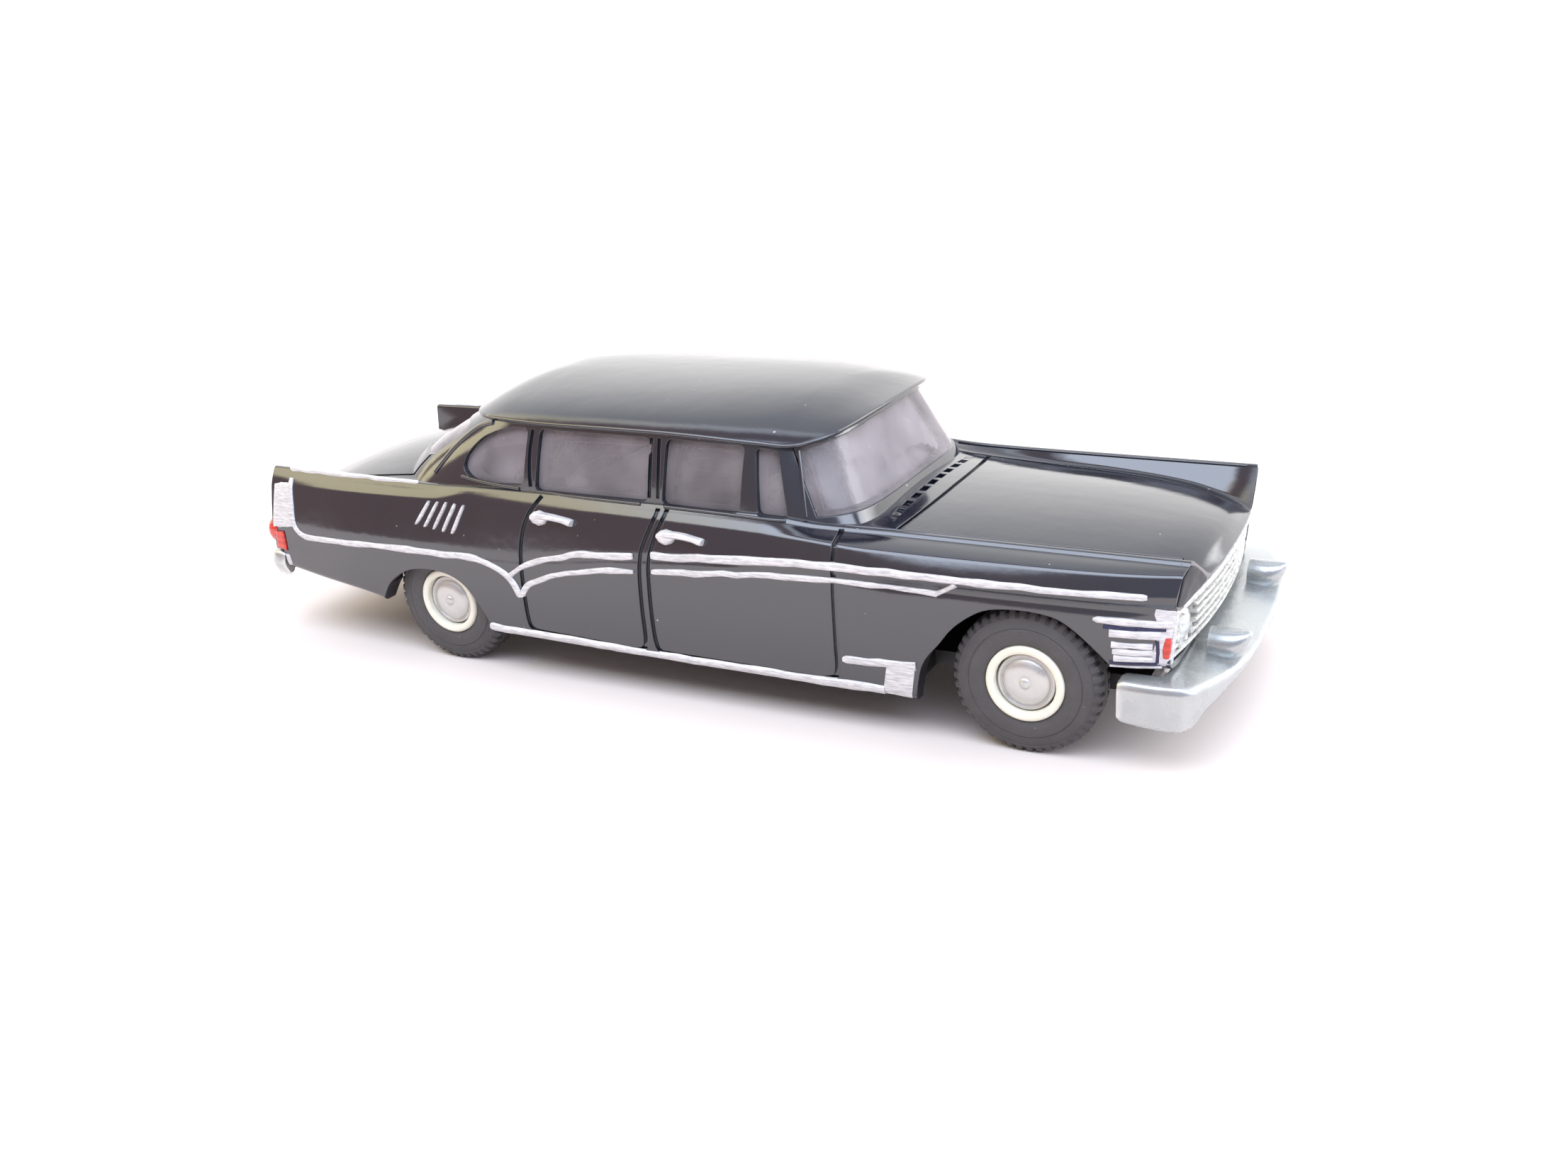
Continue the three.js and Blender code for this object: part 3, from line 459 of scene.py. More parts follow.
def lower_body(name, step=0.36):
    x = np.concatenate([np.arange(BODY_REAR, BODY_FRONT - 1.6, step), np.arange(BODY_FRONT - 1.6, BODY_FRONT, 0.16),
                        [BODY_FRONT]])
    halves = rounded(body_controls(x), CORNER_RADII, arc=4)
    return loft(name, [full_ring(xi, half) for xi, half in zip(x, halves)])


def lower_cavity(name):
    x = np.concatenate([np.linspace(-31.6, 20, 50), np.linspace(20.4, 24.4, 9)])
    w = np.minimum(side_w(x), bulge_w(x)) - WALL
    rows = [(w, np.full_like(x, -1.0)), (w, spear_z(x)), (crease_w(x) - WALL, crease_z(x) - 0.6),
            (valley_w(x) - 0.6, valley_z(x) - WALL),
            (valley_w(x) * 0.5, lerp(crown_z(x), valley_z(x), 0.25) - WALL), (x * 0, crown_z(x) - WALL)]
    halves = np.stack([np.column_stack(r) for r in rows], axis=1)
    rings = []
    for xi, half in zip(x, halves):
        right = np.column_stack([np.full(len(half), xi), -half[:, 0], half[:, 1]])
        rings.append(np.concatenate([right, right[-2::-1] * np.array([1, -1, 1])]))
    return loft(name, rings)


body = combine(lower_body("body_skin"), greenhouse("upper", NO_INSET), "UNION")

skin = BVHTree.FromPolygons([v.co / MM - Vector(ORIGIN) for v in body.data.vertices],
                            [tuple(p.vertices) for p in body.data.polygons])
PROBES = {"side": (Vector((0, -40, 0)), Vector((0, 1, 0))), "top": (Vector((0, 0, 40)), Vector((0, 0, -1))),
          "front": (Vector((60, 0, 0)), Vector((-1, 0, 0))), "rear": (Vector((-60, 0, 0)), Vector((1, 0, 0)))}


def probe(a, b, look="side"):
    """Where a line of sight meets the uncut skin: a, b are x,z from the side, x,y from the
    top, y,z from an end. Gives the point and the outward normal."""
    start, direction = PROBES[look]
    at = {"side": (a, 0, b), "top": (a, b, 0)}.get(look, (0, a, b))
    hit, normal, _, _ = skin.ray_cast(start + Vector(at), direction)
    if hit is None:
        raise ValueError(f"no skin under {look} {a:.2f}, {b:.2f}")
    return np.array(hit), np.array(normal)


def on_skin(path, look="side", step=0.25, straight=False):
    """Points and smoothed normals along a path drawn on the skin."""
    flat = smooth_path(path, step) if not straight else resample(path, step)
    hits = [probe(a, b, look) for a, b in flat]
    points = np.array([h[0] for h in hits])
    normals = np.array([h[1] for h in hits])
    padded = np.concatenate([normals[:1], normals, normals[-1:]])
    normals = padded[:-2] + 2 * padded[1:-1] + padded[2:]
    return points, normals / np.linalg.norm(normals, axis=1, keepdims=True)


def resample(path, step):
    p = np.array(path, float)
    out = [p[0]]
    for a, b in zip(p[:-1], p[1:]):
        count = max(1, int(np.ceil(np.linalg.norm(b - a) / step)))
        out += [lerp(a, b, k / count) for k in range(1, count + 1)]
    return np.array(out)


def wobble(count, size, scale):
    """A slow random drift along a painted edge."""
    knots = rng.normal(0, size, max(4, int(count / scale) + 3))
    return np.interp(np.linspace(0, len(knots) - 1, count), np.arange(len(knots)), knots)


def ribbon(name, path, width, height, sink=0.12, look="side", step=0.22, straight=False, rough=0.0, taper=(1, 1),
           square=False, offset=0.0):
    """A raised strip that follows the skin, domed across, with closed ends."""
    points, normals = on_skin(path, look, step, straight)
    tangents = np.gradient(points, axis=0)
    tangents /= np.linalg.norm(tangents, axis=1, keepdims=True)
    across = np.cross(normals, tangents)
    across /= np.linalg.norm(across, axis=1, keepdims=True)
    count = len(points)
    if square:
        section = [(-0.5, -1), (-0.5, 0.85), (-0.42, 1.0), (0.42, 1.0), (0.5, 0.85), (0.5, -1)]
    else:
        section = [(-0.5, -1), (-0.5, 0.15), (-0.44, 0.6), (-0.3, 0.9), (-0.1, 1.0), (0.1, 1.0), (0.3, 0.9),
                   (0.44, 0.6), (0.5, 0.15), (0.5, -1)]
    run = np.linspace(0, 1, count)
    widths = np.asarray(width if np.ndim(width) else [width] * 2, float)
    span = np.interp(run, np.linspace(0, 1, len(widths)), widths)
    ends = np.ones(count)
    for end, keep in ((0, taper[0]), (-1, taper[1])):
        ends[end] = keep
    low_edge = wobble(count, rough, 5)
    high_edge = wobble(count, rough, 5)
    thick = height * (1 + wobble(count, rough * 2.0, 3))
    rings = []
    for u, v in section:
        edge = np.where(u < 0, low_edge, high_edge) * abs(u) * 2
        side = (u * span * ends + edge + offset)[:, None] * across
        rise = (sink * v if v < 0 else 1) * (1 if v < 0 else thick * v)
        rise = np.broadcast_to(rise, count)[:, None] * normals
        rings.append(points + side + rise)
    return loft(name, np.stack(rings, axis=1))


def groove(path, width=0.32, depth=0.2, look="side", step=0.22, straight=False):
    """A cutter for a shut line."""
    return ribbon("groove", path, width, 0.5, sink=depth, look=look, step=step, straight=straight, square=True)


def both_sides(obj):
    return [obj, mirrored(obj, obj.name + "_far")]


def cut(target, *cutters):
    for cutter in cutters:
        combine(target, cutter, "DIFFERENCE")


# ------------------------------------------------------------------ openings
QUARTER_WINDOW = [(-17.05, 12.3), (-16.4, 11.8), (-15.3, 11.6), (-12.2, 11.75), (-11.9, 15.05), (-12.95, 15.02),
                  (-14.4, 14.7), (-15.65, 14.2), (-16.5, 13.5), (-16.98, 12.85)]
REAR_DOOR_WINDOW = [(-11.35, 11.5), (-3.55, 11.5), (-3.4, 15.05), (-11.05, 15.08)]
FRONT_DOOR_WINDOW = [(-2.6, 11.4), (2.35, 11.3), (2.5, 14.9), (-2.35, 15.05)]
VENT_WINDOW = [(3.45, 11.3), (5.2, 11.2), (4.35, 14.6), (3.1, 14.8)]
WINDOWS = ((QUARTER_WINDOW, 0.45), (REAR_DOOR_WINDOW, 0.45), (FRONT_DOOR_WINDOW, 0.45), (VENT_WINDOW, 0.35))
SCREEN_SIDE = [(7.3, 10), (14, 10), (14, 20), (2.4, 20)]
FRONT_ARCH = [(12.75, -1), (12.85, 2.4), (13.3, 4.45), (14.3, 5.8), (15, 6.7), (16, 7.5), (17, 7.95), (18.68, 8.08),
              (20.2, 7.9), (21.1, 7.45), (22, 6.7), (22.9, 5.7), (23.25, 4.9), (23.35, -1)]
REAR_ARCH = [(-24.2, -1), (-23.8, 3.4), (-22.9, 4.75), (-22, 5.5), (-21, 6.0), (-20, 6.2), (-19, 6.25), (-18, 6.15),
             (-17, 5.8), (-16.2, 5.15), (-15.3, 3.8), (-15.0, 3.1), (-14.9, -1)]
WELL_INNER_Y, REAR_FACE_Y, FRONT_FACE_Y = 7.1, 10.0, 10.3
GRILLE_BACK, GRILLE_BOTTOM, GRILLE_TOP, GRILLE_HALF = 24.9, 5.75, 8.45, 9.15
LAMP_Y, LAMP_Z, LAMP_RADIUS = 7.3, 7.1, 1.05
TAIL_Y, TAIL_Z = 8.9, 7.1


def rounded_outline(corners, radius, arc=7):
    """A closed outline with every corner rounded."""
    n = len(corners)
    out = []
    p = np.array(corners, float)
    for k in range(n):
        before, here, after = p[k - 1], p[k], p[(k + 1) % n]
        into, onto = before - here, after - here
        r_in = min(radius, 0.45 * np.linalg.norm(into))
        r_on = min(radius, 0.45 * np.linalg.norm(onto))
        a = here + into / np.linalg.norm(into) * r_in
        b = here + onto / np.linalg.norm(onto) * r_on
        for s in range(arc + 1):
            t = s / arc
            out.append((1 - t) ** 2 * a + 2 * t * (1 - t) * here + t * t * b)
    return out


def ellipse(cy, cz, ry, rz, count=40):
    a = np.linspace(0, 2 * np.pi, count, endpoint=False)
    return np.column_stack([cy + ry * np.cos(a), cz + rz * np.sin(a)])


def end_prism(name, outline, x0, x1):
    ring = np.array(outline, float)
    return loft(name, [np.column_stack([np.full(len(ring), x), ring]) for x in (x0, x1)])


cut(body, lower_cavity("cavity"), greenhouse("cabin", CAVITY, count=120, foot=8.2, wall=10, roof=12))
for outline, radius in WINDOWS:
    cut(body, side_prism("window", rounded_outline(outline, radius), -BEYOND, BEYOND))
screen_cut = combine(wall_slice("screen", 0.2, 0.93), side_prism("keep", SCREEN_SIDE, -BEYOND, BEYOND), "INTERSECT")
rear_screen_cut = combine(wall_slice("rear_screen", 0.45, 0.9), box("keep", -30, -17.6, -7.3, 7.3, 0, 20),
                          "INTERSECT")
combine(body, screen_cut, "DIFFERENCE", keep_other=True)
combine(body, rear_screen_cut, "DIFFERENCE", keep_other=True)
for arch in (FRONT_ARCH, REAR_ARCH):
    smooth_arch = [arch[0]] + [tuple(p) for p in smooth_path(arch[1:-1], 0.4)] + [arch[-1]]
    cut(body, *both_sides(side_prism("arch", smooth_arch, -12, -WELL_INNER_Y)))
for face in (-1, 1):
    cut(body, turned("well", [(0, -1.6), (TYRE_RADIUS + 0.25, -1.6), (TYRE_RADIUS + 0.25, 1.6), (0, 1.6)], "y",
                     (-AXLE_X, face * (REAR_FACE_Y + 0.14 - 1.6), AXLE_Z)))
cut(body, box("mouth", GRILLE_BACK, 28, -GRILLE_HALF, GRILLE_HALF, GRILLE_BOTTOM, GRILLE_TOP))
cut(body, box("notch", -36, -32.3, -12, 12, 0, 6.0))
cut(body, *both_sides(end_prism("lamp_hole", ellipse(-TAIL_Y, TAIL_Z, 0.9, 1.0), -34.4, -32.55)))

SHUT_LINES = [
    ([(-10.7, 11.35), (-10.95, 11.0), (-11.5, 10.2), (-11.85, 9.3), (-12.0, 8.0), (-12.0, 5.5), (-11.95, 3.7),
      (-11.6, 3.25), (-10.8, 3.15), (-7.5, 3.05), (-4.6, 2.95), (-3.9, 3.1), (-3.68, 3.7), (-3.66, 5.5),
      (-3.62, 7.5), (-3.45, 9.0), (-2.95, 10.3), (-2.7, 10.9), (-2.68, 11.3)], 0.3),
    ([(-2.1, 11.3), (-2.15, 10.9), (-2.6, 9.8), (-2.95, 8.5), (-3.04, 7.0), (-3.05, 5.0), (-3.0, 3.6),
      (-2.75, 3.08), (-2.0, 2.98), (2.0, 2.92), (6.5, 2.85), (8.0, 2.95), (8.4, 3.4), (8.45, 5.0), (8.45, 7.5),
      (8.45, 9.6), (8.4, 10.4), (8.25, 10.85)], 0.3),
    ([(-11.65, 11.75), (-11.72, 12.6), (-11.7, 13.8), (-11.55, 15.0)], 0.26),
    ([(-3.42, 11.75), (-3.36, 13.2), (-3.3, 15.05)], 0.22),
    ([(-2.86, 11.75), (-2.82, 13.2), (-2.8, 15.05)], 0.22),
]
for path, width in SHUT_LINES:
    cut(body, *both_sides(groove(path, width)))

# ------------------------------------------------------------------ finishes
def new_material(name):
    material = bpy.data.materials.new(name)
    material.use_nodes = True
    shader = material.node_tree.nodes["Principled BSDF"]
    return material, material.node_tree, shader


def node(tree, kind, **values):
    """A shader node with its inputs and properties set by name."""
    made = tree.nodes.new(kind)
    for key, value in values.items():
        if hasattr(made, key):
            setattr(made, key, value)
        else:
            made.inputs[key.replace("_", " ")].default_value = value
    return made


def coordinates(tree, stretch=(1, 1, 1)):
    """Object coordinates in millimetres, optionally squashed along an axis."""
    source = node(tree, "ShaderNodeTexCoord")
    scale = node(tree, "ShaderNodeMapping")
    scale.inputs["Scale"].default_value = [s / MM for s in stretch]
    tree.links.new(source.outputs["Object"], scale.inputs["Vector"])
    return scale.outputs["Vector"]


def noise(tree, vector, scale, detail=3.0, roughness=0.55):
    made = node(tree, "ShaderNodeTexNoise", Scale=scale, Detail=detail, Roughness=roughness)
    tree.links.new(vector, made.inputs["Vector"])
    return made.outputs["Fac"]


def ramp(tree, value, low, high, to_low=0.0, to_high=1.0):
    made = node(tree, "ShaderNodeMapRange")
    for key, number in (("From Min", low), ("From Max", high), ("To Min", to_low), ("To Max", to_high)):
        made.inputs[key].default_value = number
    tree.links.new(value, made.inputs["Value"])
    return made.outputs["Result"]


def maths(tree, operation, a, b):
    made = node(tree, "ShaderNodeMath", operation=operation)
    for index, item in enumerate((a, b)):
        if isinstance(item, (int, float)):
            made.inputs[index].default_value = item
        else:
            tree.links.new(item, made.inputs[index])
    return made.outputs["Value"]


def blend_colour(tree, factor, a, b):
    made = node(tree, "ShaderNodeMix", data_type="RGBA")
    tree.links.new(factor, made.inputs["Factor"])
    sockets = [s for s in made.inputs if s.type == "RGBA"]
    for socket, item in zip(sockets, (a, b)):
        if isinstance(item, tuple):
            socket.default_value = (*item, 1)
        else:
            tree.links.new(item, socket)
    return [s for s in made.outputs if s.type == "RGBA"][0]


def bump(tree, height, depth_mm, strength=1.0, normal=None):
    made = node(tree, "ShaderNodeBump", Strength=strength, Distance=depth_mm * MM)
    tree.links.new(height, made.inputs["Height"])
    if normal is not None:
        tree.links.new(normal, made.inputs["Normal"])
    return made.outputs["Normal"]


def soft_edges(tree, radius_mm):
    made = node(tree, "ShaderNodeBevel", samples=4, Radius=radius_mm * MM)
    return made.outputs["Normal"]


def specks(tree, vector, scale, size, share):
    """Dots of dust: near the centres of a few cells of a Voronoi pattern."""
    cells = node(tree, "ShaderNodeTexVoronoi", Scale=scale)
    tree.links.new(vector, cells.inputs["Vector"])
    near = ramp(tree, cells.outputs["Distance"], size, size * 0.4)
    split = node(tree, "ShaderNodeSeparateColor")
    tree.links.new(cells.outputs["Color"], split.inputs["Color"])
    chosen = ramp(tree, split.outputs["Red"], share, share * 0.8)
    return maths(tree, "MULTIPLY", near, chosen)


def wire(tree, shader, colour, roughness, normal):
    """Links the three sockets that every finish sets."""
    for socket, value in (("Base Color", colour), ("Roughness", roughness), ("Normal", normal)):
        tree.links.new(value, shader.inputs[socket])


def finish_black_lacquer():
    material, tree, shader = new_material("black_lacquer")
    place = coordinates(tree)
    broad = noise(tree, place, 0.18, 3)
    fine = noise(tree, place, 5.5, 4)
    ripple = noise(tree, place, 0.55, 2)
    dust = maths(tree, "MAXIMUM", specks(tree, place, 0.75, 0.075, 0.16), specks(tree, place, 2.6, 0.13, 0.03))
    tone = blend_colour(tree, broad, (0.006, 0.009, 0.017), (0.010, 0.011, 0.018))
    colour = blend_colour(tree, dust, tone, (0.34, 0.33, 0.32))
    haze = ramp(tree, broad, 0.3, 0.75, 0.08, 0.16)
    dull = maths(tree, "MAXIMUM", haze, ramp(tree, dust, 0, 1, 0, 0.6))
    shader.inputs["IOR"].default_value = 1.95
    peel = bump(tree, ripple, 0.035, 0.5, soft_edges(tree, 0.07))
    peel = bump(tree, fine, 0.004, 0.5, peel)
    wire(tree, shader, colour, dull, bump(tree, dust, 0.03, 1.0, peel))
    return material


def finish_silver_paint():
    """Brushed-on silver: pale flakes, thin streaks and places where black shows through."""
    material, tree, shader = new_material("silver_paint")
    place = coordinates(tree)
    streaks = noise(tree, coordinates(tree, (0.5, 1, 3.2)), 3.2, 5, 0.65)
    blotch = noise(tree, place, 1.3, 4, 0.6)
    grain = noise(tree, place, 14, 2)
    pale = blend_colour(tree, ramp(tree, streaks, 0.32, 0.68), (0.46, 0.45, 0.47), (0.80, 0.79, 0.80))
    thin = ramp(tree, maths(tree, "ADD", maths(tree, "MULTIPLY", streaks, 0.6), maths(tree, "MULTIPLY", blotch, 0.4)),
                0.36, 0.31)
    shader.inputs["Metallic"].default_value = 0.35
    relief = maths(tree, "ADD", maths(tree, "MULTIPLY", streaks, 0.8), maths(tree, "MULTIPLY", grain, 0.2))
    wire(tree, shader, blend_colour(tree, thin, pale, (0.05, 0.05, 0.055)),
         ramp(tree, grain, 0.3, 0.7, 0.28, 0.5), bump(tree, relief, 0.06, 0.8))
    return material


def finish_satin_silver():
    """Moulded plastic in a silver finish: smooth, faintly mottled, with a painted highlight that lightens its sharp
    edges.
    """
    material, tree, shader = new_material("satin_silver")
    place = coordinates(tree)
    mottle = noise(tree, place, 0.9, 4)
    grain = noise(tree, place, 16, 3)
    # Pointiness lightens the sharp convex edges: a painted highlight.
    edge_highlight = node(tree, "ShaderNodeNewGeometry").outputs["Pointiness"]
    colour = blend_colour(tree, mottle, (0.36, 0.38, 0.385), (0.52, 0.54, 0.54))
    colour = blend_colour(tree, ramp(tree, edge_highlight, 0.52, 0.6), colour, (0.80, 0.80, 0.79))
    shader.inputs["Metallic"].default_value = 0.7
    relief = bump(tree, mottle, 0.05, 0.6, soft_edges(tree, 0.06))
    wire(tree, shader, colour, ramp(tree, mottle, 0.3, 0.7, 0.2, 0.34), bump(tree, grain, 0.004, 0.6, relief))
    return material


def finish_rough_silver():
    """Thick silver on the cast front: lumpy, with dark pits between the bars."""
    material, tree, shader = new_material("grille_silver")
    place = coordinates(tree)
    lumps = noise(tree, place, 2.6, 5, 0.65)
    pits = node(tree, "ShaderNodeTexVoronoi", Scale=2.8)
    tree.links.new(place, pits.inputs["Vector"])
    holes = ramp(tree, pits.outputs["Distance"], 0.16, 0.05)
    holes = maths(tree, "MULTIPLY", holes, ramp(tree, noise(tree, place, 0.8), 0.45, 0.6))
    pale = blend_colour(tree, ramp(tree, lumps, 0.35, 0.65), (0.40, 0.40, 0.38), (0.80, 0.80, 0.76))
    shader.inputs["Metallic"].default_value = 0.45
    wire(tree, shader, blend_colour(tree, holes, pale, (0.06, 0.06, 0.055)),
         ramp(tree, lumps, 0.3, 0.7, 0.25, 0.5), bump(tree, lumps, 0.14, 0.9))
    return material


def finish_rubber():
    material, tree, shader = new_material("tyre_rubber")
    place = coordinates(tree)
    mottle = noise(tree, place, 0.8, 4)
    grain = noise(tree, place, 9, 5, 0.7)
    dust = specks(tree, place, 2.4, 0.1, 0.06)
    colour = blend_colour(tree, mottle, (0.05, 0.047, 0.049), (0.085, 0.08, 0.082))
    wire(tree, shader, blend_colour(tree, dust, colour, (0.25, 0.24, 0.22)),
         ramp(tree, grain, 0.3, 0.7, 0.5, 0.72), bump(tree, grain, 0.025, 0.7, soft_edges(tree, 0.05)))
    return material


def finish_plastic(name, dark, pale, rough, grain_mm=0.006, bevel_mm=0.05, scale=0.9, specular=0.5):
    """Plain moulded plastic with slight flow marks and handling dullness."""
    material, tree, shader = new_material(name)
    place = coordinates(tree)
    flow = noise(tree, place, scale, 4)
    grain = noise(tree, place, 13, 3)
    dust = specks(tree, place, 1.8, 0.08, 0.05)
    colour = blend_colour(tree, flow, dark, pale)
    shader.inputs["Specular IOR Level"].default_value = specular
    wire(tree, shader, blend_colour(tree, dust, colour, (0.4, 0.39, 0.37)),
         ramp(tree, flow, 0.3, 0.7, rough * 0.8, rough * 1.25),
         bump(tree, grain, grain_mm, 0.7, soft_edges(tree, bevel_mm)))
    return material


def finish_metal(name, dark, pale, rough, metallic=0.9):
    """Bright metal with turning marks and a little tarnish."""
    material, tree, shader = new_material(name)
    place = coordinates(tree)
    tarnish = noise(tree, place, 1.4, 4)
    lines = noise(tree, coordinates(tree, (1, 8, 1)), 4, 3)
    shader.inputs["Metallic"].default_value = metallic
    wire(tree, shader, blend_colour(tree, tarnish, dark, pale),
         ramp(tree, tarnish, 0.3, 0.7, rough * 0.8, rough * 1.3),
         bump(tree, lines, 0.01, 0.6, soft_edges(tree, 0.04)))
    return material


def finish_clear(name, tint, haze, strength):
    """Thin clear moulding: see-through face on, glossy at a slant, dusty in patches."""
    material, tree, shader = new_material(name)
    place = coordinates(tree)
    film = noise(tree, place, 0.35, 4)
    waves = noise(tree, place, 0.9, 3)
    dust = specks(tree, place, 1.6, 0.09, 0.08)
    surface = bump(tree, waves, 0.06, 0.6)
    wire(tree, shader, blend_colour(tree, film, tint, tuple(min(1, c * 1.5) for c in tint)),
         ramp(tree, film, 0.3, 0.7, 0.03, 0.09), surface)
    through = node(tree, "ShaderNodeBsdfTransparent", Color=(0.93, 0.94, 0.94, 1))
    facing = node(tree, "ShaderNodeFresnel", IOR=1.5)
    tree.links.new(surface, facing.inputs["Normal"])
    cover = maths(tree, "ADD", maths(tree, "MULTIPLY", facing.outputs["Fac"], strength),
                  ramp(tree, film, 0.3, 0.8, haze * 0.6, haze * 1.4))
    cover = maths(tree, "MINIMUM", maths(tree, "ADD", cover, maths(tree, "MULTIPLY", dust, 0.5)), 1.0)
    mix = node(tree, "ShaderNodeMixShader")
    tree.links.new(cover, mix.inputs["Fac"])
    tree.links.new(through.outputs["BSDF"], mix.inputs[1])
    tree.links.new(shader.outputs["BSDF"], mix.inputs[2])
    output = tree.nodes["Material Output"]
    tree.links.new(mix.outputs["Shader"], output.inputs["Surface"])
    return material


def finish_lens(name, colour, deep, rough=0.08):
    """Coloured or clear lamp glass with moulded ribs and depth."""
    material, tree, shader = new_material(name)
    place = coordinates(tree)
    blotch = noise(tree, place, 1.8, 3)
    ribs = node(tree, "ShaderNodeTexWave", Scale=0.8, Distortion=1.0, bands_direction="Z")
    tree.links.new(place, ribs.inputs["Vector"])
    shader.inputs["Coat Weight"].default_value = 0.6
    wire(tree, shader, blend_colour(tree, maths(tree, "MULTIPLY", blotch, ribs.outputs["Fac"]), colour, deep),
         ramp(tree, blotch, 0.3, 0.7, rough, rough * 2.5), bump(tree, ribs.outputs["Fac"], 0.03, 0.6))
    return material


LACQUER = finish_black_lacquer()
SILVER = finish_silver_paint()
SATIN = finish_satin_silver()
CAST = finish_rough_silver()
RUBBER = finish_rubber()
IVORY = finish_plastic("ivory_plastic", (0.72, 0.69, 0.56), (0.80, 0.78, 0.68), 0.22, 0.008)
GREY = finish_plastic("grey_plastic", (0.26, 0.235, 0.24), (0.36, 0.33, 0.335), 0.5)
CHASSIS = finish_plastic("chassis_black", (0.012, 0.012, 0.013), (0.022, 0.022, 0.022), 0.45)
DARK = finish_plastic("dark_plastic", (0.02, 0.019, 0.019), (0.035, 0.033, 0.033), 0.4)
CAP = finish_metal("hubcap_silver", (0.50, 0.49, 0.48), (0.66, 0.65, 0.63), 0.32, 0.75)
STEEL = finish_metal("axle_steel", (0.35, 0.35, 0.36), (0.55, 0.55, 0.55), 0.3)
CLEAR = finish_clear("clear_plastic", (0.36, 0.325, 0.34), 0.30, 1.0)
LAMP_GLASS = finish_lens("lamp_glass", (0.62, 0.64, 0.63), (0.32, 0.33, 0.33))
RED = finish_lens("red_lens", (0.62, 0.035, 0.02), (0.30, 0.01, 0.01), 0.15)
# A duller copy of the body's black lacquer: painted shade on the fender horn ends.
HORN_SHADE = finish_plastic("horn_shade_black", (0.018, 0.018, 0.022), (0.028, 0.028, 0.033), 0.42, specular=0.25)
NAVY = finish_plastic("navy_line", (0.012, 0.012, 0.05), (0.018, 0.018, 0.07), 0.3)


def hand_over(obj, material, carrier, slot, *nodes):
    """Hands a finished piece its material, the body it rides on and the nodes it stands for."""
    obj.data.materials.clear()
    obj.data.materials.append(material)
    for polygon in obj.data.polygons:
        polygon.material_index = 0
    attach(obj, carrier)
    if nodes:
        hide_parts(*nodes)
    return obj


# ------------------------------------------------------------------ body details
def patch(name, low, high, height=0.07, sink=0.15, look="side", columns=24, rows=8, rough=0.0):
    """A thin painted area on the skin between two paths with as many points each."""
    a, b = smooth_path(low, 0.3), smooth_path(high, 0.3)
    t = np.linspace(0, 1, columns)
    a = np.column_stack([np.interp(t, np.linspace(0, 1, len(a)), a[:, k]) for k in (0, 1)])
    b = np.column_stack([np.interp(t, np.linspace(0, 1, len(b)), b[:, k]) for k in (0, 1)])
    a[:, 1] += wobble(columns, rough, 3)
    b[:, 1] += wobble(columns, rough, 3)
    outer, inner = [], []
    for v in np.linspace(0, 1, rows):
        for u in range(columns):
            hit, normal = probe(*lerp(a[u], b[u], v), look)
            edge = min(v, 1 - v) * (rows - 1)
            rise = height * (0.55 if edge < 0.5 or u in (0, columns - 1) else 1)
            outer.append(hit + normal * rise)
            inner.append(hit - normal * sink)
    count = rows * columns
    faces = grid_faces(rows, columns) + [f[::-1] for f in grid_faces(rows, columns, start=count)]
    rim = list(range(columns)) + [r * columns + columns - 1 for r in range(1, rows)]
    rim += [(rows - 1) * columns + c for c in range(columns - 2, -1, -1)]
    rim += [r * columns for r in range(rows - 2, 0, -1)]
    for i, here in enumerate(rim):
        there = rim[(i + 1) % len(rim)]
        faces.append((here, there, there + count, here + count))
    obj = make_object(name, outer + inner, faces)
    point_outward(obj)
    return obj


def add_pair(make, piece, material, slot):
    """One piece on the near side and its mirror image on the far side."""
    near = make(f"right_{piece}")
    for obj in (near, mirrored(near, f"left_{piece}")):
        hand_over(obj, material, "body", slot)


# Openings of the cowl and the bonnet and boot shut lines, drawn on the skin from above.
SLOT_COUNT, SLOT_PITCH, SLOT_FIRST_Y = 13, 1.22, -7.6
SLOT_LENGTH, SLOT_HALF_WIDTH = 0.44, 0.43
COWL_DESIGN_Z = 11.22  # the slots are drawn for a cowl at this height and follow the real one
cowl_lift = probe(10.0, 0.0, "top")[0][2] - COWL_DESIGN_Z
for i in range(SLOT_COUNT):
    y = SLOT_FIRST_Y + i * SLOT_PITCH
    back = 9.7 + 0.1 * (1 - (y / 8) ** 2)
    front = back + SLOT_LENGTH
    cut(body, side_prism("slot", [(back, 10.9 + cowl_lift), (front, 10.8 + cowl_lift), (front, 12 + cowl_lift),
                                  (back, 12 + cowl_lift)], y - SLOT_HALF_WIDTH, y + SLOT_HALF_WIDTH))
cut(body, groove([(10.75, -7.15), (11.1, -5), (11.35, -2.5), (11.42, 0), (11.35, 2.5), (11.1, 5), (10.75, 7.15)],
                 0.26, 0.22, look="top"))
cut(body, *both_sides(groove([(10.75, -7.2), (14, -7.25), (18, -7.15), (21, -6.95), (23, -6.55), (24.4, -5.8),
                              (25.3, -4.9)], 0.2, 0.14, look="top")))
cut(body, groove([(-20.2, -6.9), (-21.5, -6.2), (-22.9, -4.4), (-23.6, -2.2), (-23.8, 0), (-23.6, 2.2),
                  (-22.9, 4.4), (-21.5, 6.2), (-20.2, 6.9)], 0.2, 0.14, look="top"))
cut(body, *both_sides(groove([(-20.4, -7.1), (-24, -7.3), (-28, -7.2), (-31.5, -6.9)], 0.2, 0.14, look="top")))
shade(body, 32)
hand_over(body, LACQUER, "body", "black_lacquer", "body_shell")


